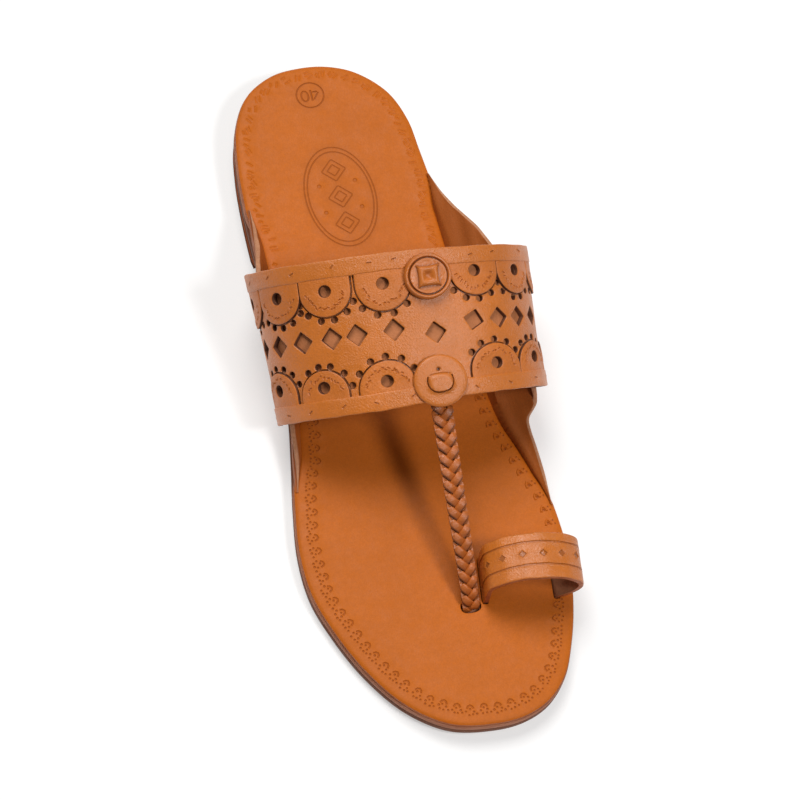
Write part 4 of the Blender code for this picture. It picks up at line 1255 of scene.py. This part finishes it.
# Dashes stamped on the scallops, in the order of the two rows
# columns: how many, to be multiplied by LOBE_DASH_SHARE, reach as a share of the radius, half
# length, lean from the tangent in radians
LOBE_DASHES = (
    (8, 0.77, 0.00055, 0.3), (9, 0.76, 0.00060, 0.5), (14, 0.72, 0.00060, 0.6), (11, 0.76, 0.00055, 0.4),
    (10, 0.74, 0.00070, 1.5), (9, 0.76, 0.00060, 0.5), (9, 0.75, 0.00055, 0.7), (7, 0.76, 0.00060, 0.4),
    (8, 0.76, 0.00055, 0.5), (10, 0.75, 0.00060, 0.6), (12, 0.74, 0.00065, 0.5), (11, 0.76, 0.00060, 0.7),
    (9, 0.75, 0.00060, 0.4), (8, 0.76, 0.00055, 0.6))


LOBE_DASH_SHARE = 1.4


def lobe_marks(plate, s, t, radius, way, dashes):
    """Short dashes stamped round the arc of a scallop."""
    count, share, half, lean = dashes
    for turn in np.linspace(radians(10), radians(170), round(LOBE_DASH_SHARE * count)):
        turn += RANDOM.uniform(-0.05, 0.05)
        tilt = turn + pi / 2 + RANDOM.choice((-1, 1)) * lean + RANDOM.uniform(-0.25, 0.25)
        reach = radius * (share + RANDOM.uniform(-0.09, 0.05))
        centre = np.array([s + reach * cos(turn), t + way * reach * sin(turn)])
        run = np.array([cos(tilt), way * sin(tilt)]) * half * RANDOM.uniform(0.50, 0.85)
        plate.stamp(stroke([centre - run, centre, centre + run], 0.00034), 0.00024, 0.00018, 0.00010, 0.30)


def make_lobes():
    """Scallops laid on the band, each with its hole and its stamped dashes."""
    plate = Plate(level(BAND_T + LOBE_T))
    for (s, t, radius, way, _), dashes in zip(scallops(), LOBE_DASHES):
        ring = lobe_ring(s, t, radius, way)
        if not within_band(ring, 0.0004):
            ring = np.array([(min(max(a, band_end(-1, b) + 0.0004), band_end(1, b) - 0.0004), b)
                             for a, b in ring])
            if np.ptp(ring[:, 0]) < radius:
                continue
        plate.edge(ring, ((0.00040, 0.0), (0.00016, 0.00006), (0.0, 0.00024)))
        hole = circle(scallop_hole(s, t, way), SCALLOP_HOLE, 24)
        if within_band(hole):
            plate.hole(hole)
        if within_band(ring, 0.0006):
            lobe_marks(plate, s, t, radius, way, dashes)
    # The scallops' edges take the dark wall finish: painted shade in the gap round each one.
    piece = plate.build("scallops", on_form, BAND_T - LOBE_GAP_DEPTH, LOBE_PITCH,
                        ("lobe", "punched", "flesh", "punched"))
    dress(piece, "band_leather")


def make_trims():
    """Binding strips along both edges of the band, over the roots of the scallops."""
    for name, low, high in (("trim_rear", 0.0, TRIM), ("trim_front", BAND_LENGTH - TRIM, BAND_LENGTH)):
        plate = Plate(level(BAND_T + TRIM_T))
        plate.edge(strip(low, high))
        for s in np.arange(-0.082, 0.078, 0.0118):
            at = np.array([s + RANDOM.uniform(-0.002, 0.002),
                           (low + high) / 2 + RANDOM.uniform(-0.0008, 0.0008)])
            lean = RANDOM.uniform(-0.9, 0.9)
            run = np.array([cos(lean), sin(lean)]) * 0.00075
            mark = stroke([at - run, at, at + run], 0.00040)
            if within_band(mark):
                plate.stamp(mark, 0.00024, 0.00018, 0.00006)
        piece = plate.build(name, on_form, BAND_T - TRIM_SUNK, BAND_PITCH, BAND_LEATHERS)
        dress(piece, "band_leather")


# ---------------------------------------------------------------- braid

def braid_path(count):
    """Middle line of the braid from under the band to below the footbed, evenly spaced."""
    start = FORM.point(BRAID_ACROSS, BAND_LENGTH - BRAID_HIDDEN, -BRAID_SINK)
    leave = FORM.point(BRAID_ACROSS, BAND_LENGTH + BRAID_SINK, -BRAID_SINK)
    hole = np.array([POST_ACROSS, POST_ALONG, footbed_top(POST_ALONG)])
    end = np.array([POST_ACROSS, POST_ALONG, lift(POST_ALONG) + OUTSOLE_T + GAP])
    run = leave - start
    run /= np.linalg.norm(run)
    reach = np.linalg.norm(hole - leave)
    u = np.linspace(0, 1, 200)[:, None]
    leave_pull = leave + run * reach * 0.40
    hole_pull = hole + np.array([-0.02, 0.55, 0.85]) * reach * 0.20
    curve = ((1 - u)**3 * leave + 3 * (1 - u)**2 * u * leave_pull + 3 * (1 - u) * u**2 * hole_pull
             + u**3 * hole)
    route = np.vstack([start, curve, end])
    arc = arc_lengths(route)
    even = np.linspace(0, arc[-1], count)
    return np.stack([np.interp(even, arc, route[:, k]) for k in range(3)], -1), even


STRANDS = 3
STRAND_WIDTH = 0.0029
STRAND_T = 0.00125
STRAND_PITCH = 0.0047
STRAND_SWING = 0.44
STRAND_RISE = 0.00080
FOLD = 0.992


def make_braid():
    """Three flat thongs plaited, folded at the edges, their crossings pointing to the toe."""
    path, arc = braid_path(420)
    ahead = unit_rows(np.gradient(path, axis=0))
    side = np.cross(path[-1] - path[0], (0.0, 0.0, 1.0))
    side /= np.linalg.norm(side)
    face = unit_rows(np.cross(side, ahead))
    if face[len(face) // 2, 2] < 0:
        side, face = -side, -face
    width = BRAID_WIDTH + (BRAID_TOE_WIDTH - BRAID_WIDTH) * arc / arc[-1]
    section = (np.arange(16) + 0.5) * 2 * pi / 16
    flat = np.sign(np.cos(section)) * np.abs(np.cos(section)) ** 0.45
    full = np.sign(np.sin(section)) * np.abs(np.sin(section)) ** 0.55
    for k in range(STRANDS):
        phase = 2 * pi * (arc / (STRANDS * STRAND_PITCH) + k / STRANDS)
        zigzag = np.arcsin(FOLD * np.sin(phase)) / np.arcsin(FOLD)
        centre = (path + side * (STRAND_SWING * width * zigzag)[:, None]
                  - face * (STRAND_RISE * np.sin(2 * phase))[:, None])
        run = unit_rows(np.gradient(centre, axis=0))
        wide = unit_rows(np.cross(run, face))
        up = np.cross(wide, run)
        # Painted shade: each strand is darkened on the side that turns in under the next strand.
        inward = np.sign(np.gradient(zigzag))
        press_and_shade = np.clip(-1.15 * np.outer(inward, flat), 0, 1) ** 2
        rings = []
        for i, middle in enumerate(centre):
            ring = middle + np.outer(flat * STRAND_WIDTH / 2, wide[i]) + np.outer(full * STRAND_T / 2, up[i])
            out = (ring - path[i]) @ side
            held = np.clip(out, -width[i] / 2, width[i] / 2)
            rings.append(ring + np.outer(held - out, side))
        piece = loft(f"braid_strand_{k + 1}", rings, [0] * 16, ("braid",), press_and_shade, sharp=50)
        dress(piece, "band_leather")


# ---------------------------------------------------------------- ornaments

def rosette_top():
    """Height of the ornaments' seat over the form."""
    return BAND_T + TRIM_T + 0.0002


def on_seat(places, height):
    """Flat place of an ornament to the world."""
    return FORM.point(places[:, 0], places[:, 1], height)


# The tongue tucked into the disc: the slit round it and the line over it, across and down from the
# disc's centre
TONGUE_SLIT = (
    (-0.0043, -0.0016), (-0.0046, -0.0002), (-0.0044, 0.0014), (-0.0038, 0.0026), (-0.0027, 0.0036),
    (-0.0012, 0.0040), (0.0006, 0.0040), (0.0023, 0.0036), (0.0034, 0.0028), (0.0041, 0.0014),
    (0.0043, -0.0002), (0.0040, -0.0016))
TONGUE_TOP = ((-0.0036, -0.0023), (-0.0020, -0.0027), (0.0, -0.0028), (0.0020, -0.0027), (0.0034, -0.0023))
TONGUE_ALONG = 0.0009
TONGUE_HALF_WIDTH = 0.0048
TONGUE_HALF_LENGTH = 0.0037
TONGUE_RISE = 0.0009
DISC_T = 0.0015
DISC_DOME = 0.0005


def make_disc():
    """Round washer over the start of the braid, with a squarish tongue tucked into it."""
    centre = np.array([DISC_ACROSS, BAND_LENGTH - DISC_FROM_FRONT])
    base = rosette_top()

    def surface(places):
        out = (places - centre) / DISC_RADIUS
        dome = DISC_DOME * (1 - np.clip((out ** 2).sum(1), 0, 1))
        tongue = ((np.abs(places[:, 0] - centre[0]) / TONGUE_HALF_WIDTH) ** 3
                  + (np.abs(places[:, 1] - centre[1] - TONGUE_ALONG) / TONGUE_HALF_LENGTH) ** 3)
        return base + DISC_T + dome + TONGUE_RISE * smooth_step((1.05 - tongue) / 0.75)

    plate = Plate(surface)
    plate.edge(circle(centre, DISC_RADIUS, 72),
               ((0.0011, 0.0), (0.0005, 0.00012), (0.00016, 0.00036), (0.0, 0.0008)))
    # The slit round the tongue and the pinhole are painted dark: painted shade in them.
    slit = stroke([centre + place for place in TONGUE_SLIT], 0.00022)
    plate.ring(grow(slit, 0.00020), 0.0, 0.1)
    plate.ring(slit, 0.0007, 0.8)
    plate.stamp(stroke([centre + place for place in TONGUE_TOP], 0.00016), 0.00018, 0.00018, 0.0, 0.35)
    for radius, drop, mark in ((0.0012, 0.0, 0.0), (0.00075, 0.00016, 0.35), (0.00045, 0.0004, 0.8),
                               (0.0003, 0.0011, 1.0)):
        plate.ring(circle(centre + (-0.0003, -0.0041), radius, 12), drop, mark)

    piece = plate.build("disc_face", on_seat, base, DISC_PITCH, ("band", "cut", "flesh", "cut"))
    dress(piece, "band_leather", "disc")


# Rings of the rosette: radius as a share of ROSETTE_RADIUS, height over its seat, darkening, which is painted
# shade at its edge and in its groove
ROSETTE_RINGS = (
    (1.00, 0.0004, 0.4), (0.99, 0.0011, 0.1), (0.955, 0.0019, 0.0), (0.91, 0.0023, 0.0),
    (0.86, 0.0023, 0.0), (0.82, 0.0019, 0.1), (0.795, 0.0012, 0.7), (0.775, 0.0012, 0.7),
    (0.760, 0.0022, 0.1), (0.740, 0.0026, 0.0), (0.69, 0.0026, 0.0))
ROSETTE_FLOOR = 0.0024
ROSETTE_MILLING = 0.005

# Its pinched knot: size as a share of the whole, height over the seat, darkening, which is painted shade
# round the knot's foot and in its middle
ROSETTE_KNOT = (
    (1.00, 0.0024, 0.55), (0.95, 0.0029, 0.1), (0.86, 0.0035, 0.0), (0.74, 0.0039, 0.0), (0.58, 0.0040, 0.0),
    (0.44, 0.0038, 0.0), (0.32, 0.0034, 0.0), (0.21, 0.0029, 0.1), (0.11, 0.0027, 0.2), (0.04, 0.0027, 0.2))
KNOT_REACH = 0.68
KNOT_HOLLOW = 0.84


def make_rosette():
    """Rounded ring, and a square knot with pinched corners on the disc inside it."""
    centre = np.array([ROSETTE_ACROSS, ROSETTE_FROM_REAR])
    base = rosette_top()
    plate = Plate(level(base + ROSETTE_FLOOR))
    milled = (-1.0) ** np.arange(72)[:, None]
    for share, height, mark in ROSETTE_RINGS:
        ring = circle(centre, ROSETTE_RADIUS * share, 72)
        if share > 0.85:
            ring = centre + (ring - centre) * (1 - ROSETTE_MILLING * (1 + milled))
        plate.ring(ring, ROSETTE_FLOOR - height, mark)
    plate.bounds.append(circle(centre, ROSETTE_RADIUS, 72))
    turns = full_turn(64)
    corner = turns - pi / 4
    star = (np.abs(np.cos(corner)) ** KNOT_HOLLOW
            + np.abs(np.sin(corner)) ** KNOT_HOLLOW) ** (-1 / KNOT_HOLLOW)
    for share, height, mark in ROSETTE_KNOT:
        rounded = star ** (0.3 + 0.7 * share)
        reach = KNOT_REACH * ROSETTE_RADIUS * share * rounded
        ring = np.stack([centre[0] + reach * np.cos(turns), centre[1] + reach * np.sin(turns)], 1)
        plate.ring(ring, ROSETTE_FLOOR - height, mark)

    piece = plate.build("rosette_face", on_seat, base - 0.0002, ROSETTE_PITCH,
                        ("rosette", "rosette", "flesh", "rosette"))
    dress(piece, "rosette_leather", "rosette")


# ---------------------------------------------------------------- toe loop

def loop_path():
    """Middle of the toe loop's strap in its own plane: across and height over the footbed."""
    half, top = LOOP_WIDTH / 2 - LOOP_T / 2, LOOP_HEIGHT - LOOP_T / 2
    shoulder = LOOP_SHOULDER * top
    turn = np.linspace(0, pi, 90)
    arch = [(-half * np.sign(cos(a)) * abs(cos(a)) ** LOOP_ROUNDNESS,
             shoulder + (top - shoulder) * sin(a) ** LOOP_ROUNDNESS) for a in turn]
    tuck = [(half - LOOP_TUCK * u**1.6, shoulder * (1 - u)) for u in np.linspace(0, 1, 24)[1:]]
    rise = [(-half, shoulder * u) for u in np.linspace(0, 0.95, 10)]
    route = np.array([(-half, -FOOTBED_T)] + rise + arch + tuck + [(half - LOOP_TUCK, -FOOTBED_T)])
    arc = arc_lengths(route)
    return route, arc


LOOP_GROOVES = (-0.0035, 0.0050)
LOOP_STAMP_LINE = 0.00075
LOOP_STAMP_SIZE = 0.00130
LOOP_WRINKLE = 0.00010
LOOP_STAMPS = (0.225, 0.315, 0.415, 0.515, 0.610, 0.705)


def make_toe_loop():
    """Strap round the big toe, grooved along both edges and stamped with diamonds."""
    route, arc = loop_path()
    even = np.linspace(0, arc[-1], 240)
    route = np.stack([np.interp(even, arc, route[:, k]) for k in range(2)], -1)
    for _ in range(3):
        route[1:-1] = (route[:-2] + 2 * route[1:-1] + route[2:]) / 4
    ahead = unit_rows(np.gradient(route, axis=0))
    outward = np.stack([-ahead[:, 1], ahead[:, 0]], 1)
    length = arc[-1]
    half = LOOP_STRAP / 2
    u = np.linspace(0, 1, 60)
    rail = 0.00010
    rear = [(length * a, half + rail * sin(a * 40)) for a in u]
    front = [(length * a, -half + rail * sin(a * 33 + 1)) for a in u]

    def surface(places):
        return LOOP_T / 2 + LOOP_WRINKLE * np.sin(places[:, 0] / 0.00115 + 0.6 * np.sin(places[:, 1] / 0.003))

    plate = Plate(surface)
    plate.edge(np.array(front + rear[::-1]))
    for v in LOOP_GROOVES:
        ends = np.linspace(0.05, 0.95, 60)
        line = [(length * a, v + 0.00012 * sin(a * 17)) for a in ends]
        groove = stroke(line, 0.00045)
        # The grooves are painted darker towards their bottom: painted shade, partly pressed leather.
        plate.ring(grow(groove, 0.00050), 0.0)
        plate.ring(grow(groove, 0.00022), -0.00008)
        plate.ring(grow(groove, 0.00010), 0.0, 0.2)
        plate.ring(groove, 0.00026, 0.35)
    for place in LOOP_STAMPS:
        centre = np.array([length * place, LOOP_STAMP_LINE + RANDOM.uniform(-0.0003, 0.0003)])
        ring = [centre + (LOOP_STAMP_SIZE * a, LOOP_STAMP_SIZE * b)
                for a, b in ((1, 0), (0.5, 0.5), (0, 1), (-0.5, 0.5),
                             (-1, 0), (-0.5, -0.5), (0, -1), (0.5, -0.5))]
        plate.stamp(np.array(ring), 0.00034, 0.00026, 0.00007)

    def lay(places, height):
        at = np.clip(places[:, 0] / length * (len(route) - 1), 0, len(route) - 1.001)
        i = at.astype(int)
        w = (at - i)[:, None]
        base = route[i] * (1 - w) + route[i + 1] * w
        out = outward[i] * (1 - w) + outward[i + 1] * w
        here = base + out * height[:, None]
        x = LOOP_ACROSS + here[:, 0] * cos(LOOP_TURN) - places[:, 1] * sin(LOOP_TURN)
        y = LOOP_ALONG + here[:, 0] * sin(LOOP_TURN) + places[:, 1] * cos(LOOP_TURN)
        return np.column_stack([x, y, here[:, 1] + footbed_top(LOOP_ALONG)])

    piece = plate.build("toe_loop_strap", lay, -LOOP_T / 2, LOOP_PITCH,
                        ("band", "red_edge", "flesh", "punched"))
    dress(piece, "band_leather", "toe_loop")


# ---------------------------------------------------------------- room, light and camera

CAMERA_ELEVATION = radians(66)
CAMERA_AZIMUTH = radians(-27)
CAMERA_ROLL = radians(14)
CAMERA_DISTANCE = 1.5
CAMERA_TARGET = (-0.0035, -0.0053, 0.0120)
PIXELS_PER_METRE = 2300 * 1.2
FRAME_PIXELS = 800
FLOOR_HALF = 6.0
FLOOR_GREY = 0.56
FLOOR_GLOW = 0.43
KEY_PLACE = (-0.22, 0.84, 1.75)
KEY_SIZE = 1.00
KEY_POWER = 29.3
KEY_COLOUR = (1.0, 0.99, 0.97)
SHEEN_PLACE = (0.50, -0.60, 1.40)
SHEEN_SIZE = 0.30
SHEEN_POWER = 11
ROOM_STRENGTH = 0.16


def make_floor():
    """A wide pale floor, lit a little from below as a light table is."""
    finish = Finish("floor_paint")
    finish.shader.inputs["Base Color"].default_value = (FLOOR_GREY,) * 3 + (1.0,)
    finish.shader.inputs["Emission Color"].default_value = (1.0, 1.0, 1.0, 1.0)
    finish.shader.inputs["Emission Strength"].default_value = FLOOR_GLOW
    finish.shader.inputs["Roughness"].default_value = 0.9
    finish.shader.inputs["Specular IOR Level"].default_value = 0.1
    mesh = bpy.data.meshes.new("floor")
    corners = [(FLOOR_HALF * x, FLOOR_HALF * y, 0) for x, y in ((-1, -1), (1, -1), (1, 1), (-1, 1))]
    mesh.from_pydata(corners, [], [(0, 1, 2, 3)])
    mesh.materials.append(finish.material)
    add_object("floor", mesh)


def add_light(name, place, size, power, colour=(1.0, 1.0, 1.0)):
    """A square soft light aimed at the shoe."""
    data = bpy.data.lights.new(name, "AREA")
    data.energy, data.size, data.color = power, size, colour
    lamp = add_object(name, data)
    lamp.location = place
    aim = Vector((0.0, 0.0, 0.02)) - Vector(place)
    lamp.rotation_euler = aim.to_track_quat("-Z", "Y").to_euler()


def make_light():
    """A high key from behind the heel, a small light that gives the band its sheen, and a pale room."""
    add_light("key", KEY_PLACE, KEY_SIZE, KEY_POWER, KEY_COLOUR)
    add_light("sheen", SHEEN_PLACE, SHEEN_SIZE, SHEEN_POWER)
    world = bpy.data.worlds.new("room")
    world.use_nodes = True
    world.node_tree.nodes["Background"].inputs["Color"].default_value = (1.0, 1.0, 1.0, 1.0)
    world.node_tree.nodes["Background"].inputs["Strength"].default_value = ROOM_STRENGTH
    bpy.context.scene.world = world
    bpy.context.scene.view_settings.view_transform = "Standard"


def make_camera():
    """The camera at the photograph's angle, rolled as the photograph is."""
    el, az, roll = CAMERA_ELEVATION, CAMERA_AZIMUTH, CAMERA_ROLL
    back = Vector((sin(az) * cos(el), -cos(az) * cos(el), sin(el)))
    right = Vector((cos(az), sin(az), 0.0))
    up = back.cross(right)
    turned_right = right * cos(roll) + up * sin(roll)
    turned_up = up * cos(roll) - right * sin(roll)
    data = bpy.data.cameras.new("camera")
    data.sensor_width = 36.0
    data.lens = PIXELS_PER_METRE * CAMERA_DISTANCE * data.sensor_width / FRAME_PIXELS
    data.clip_start, data.clip_end = 0.05, 20.0
    camera = add_object("camera", data)
    turn = Matrix((turned_right, turned_up, back)).transposed()
    camera.matrix_world = Matrix.Translation(Vector(CAMERA_TARGET) + back * CAMERA_DISTANCE) @ turn.to_4x4()
    bpy.context.scene.camera = camera


def main():
    make_sole()
    make_heel()
    make_footbed()
    for name in EAR_RIMS:
        make_ear(name)
    make_band()
    make_lining()
    make_lobes()
    make_trims()
    make_braid()
    make_disc()
    make_rosette()
    make_toe_loop()
    make_floor()
    make_light()
    make_camera()


main()
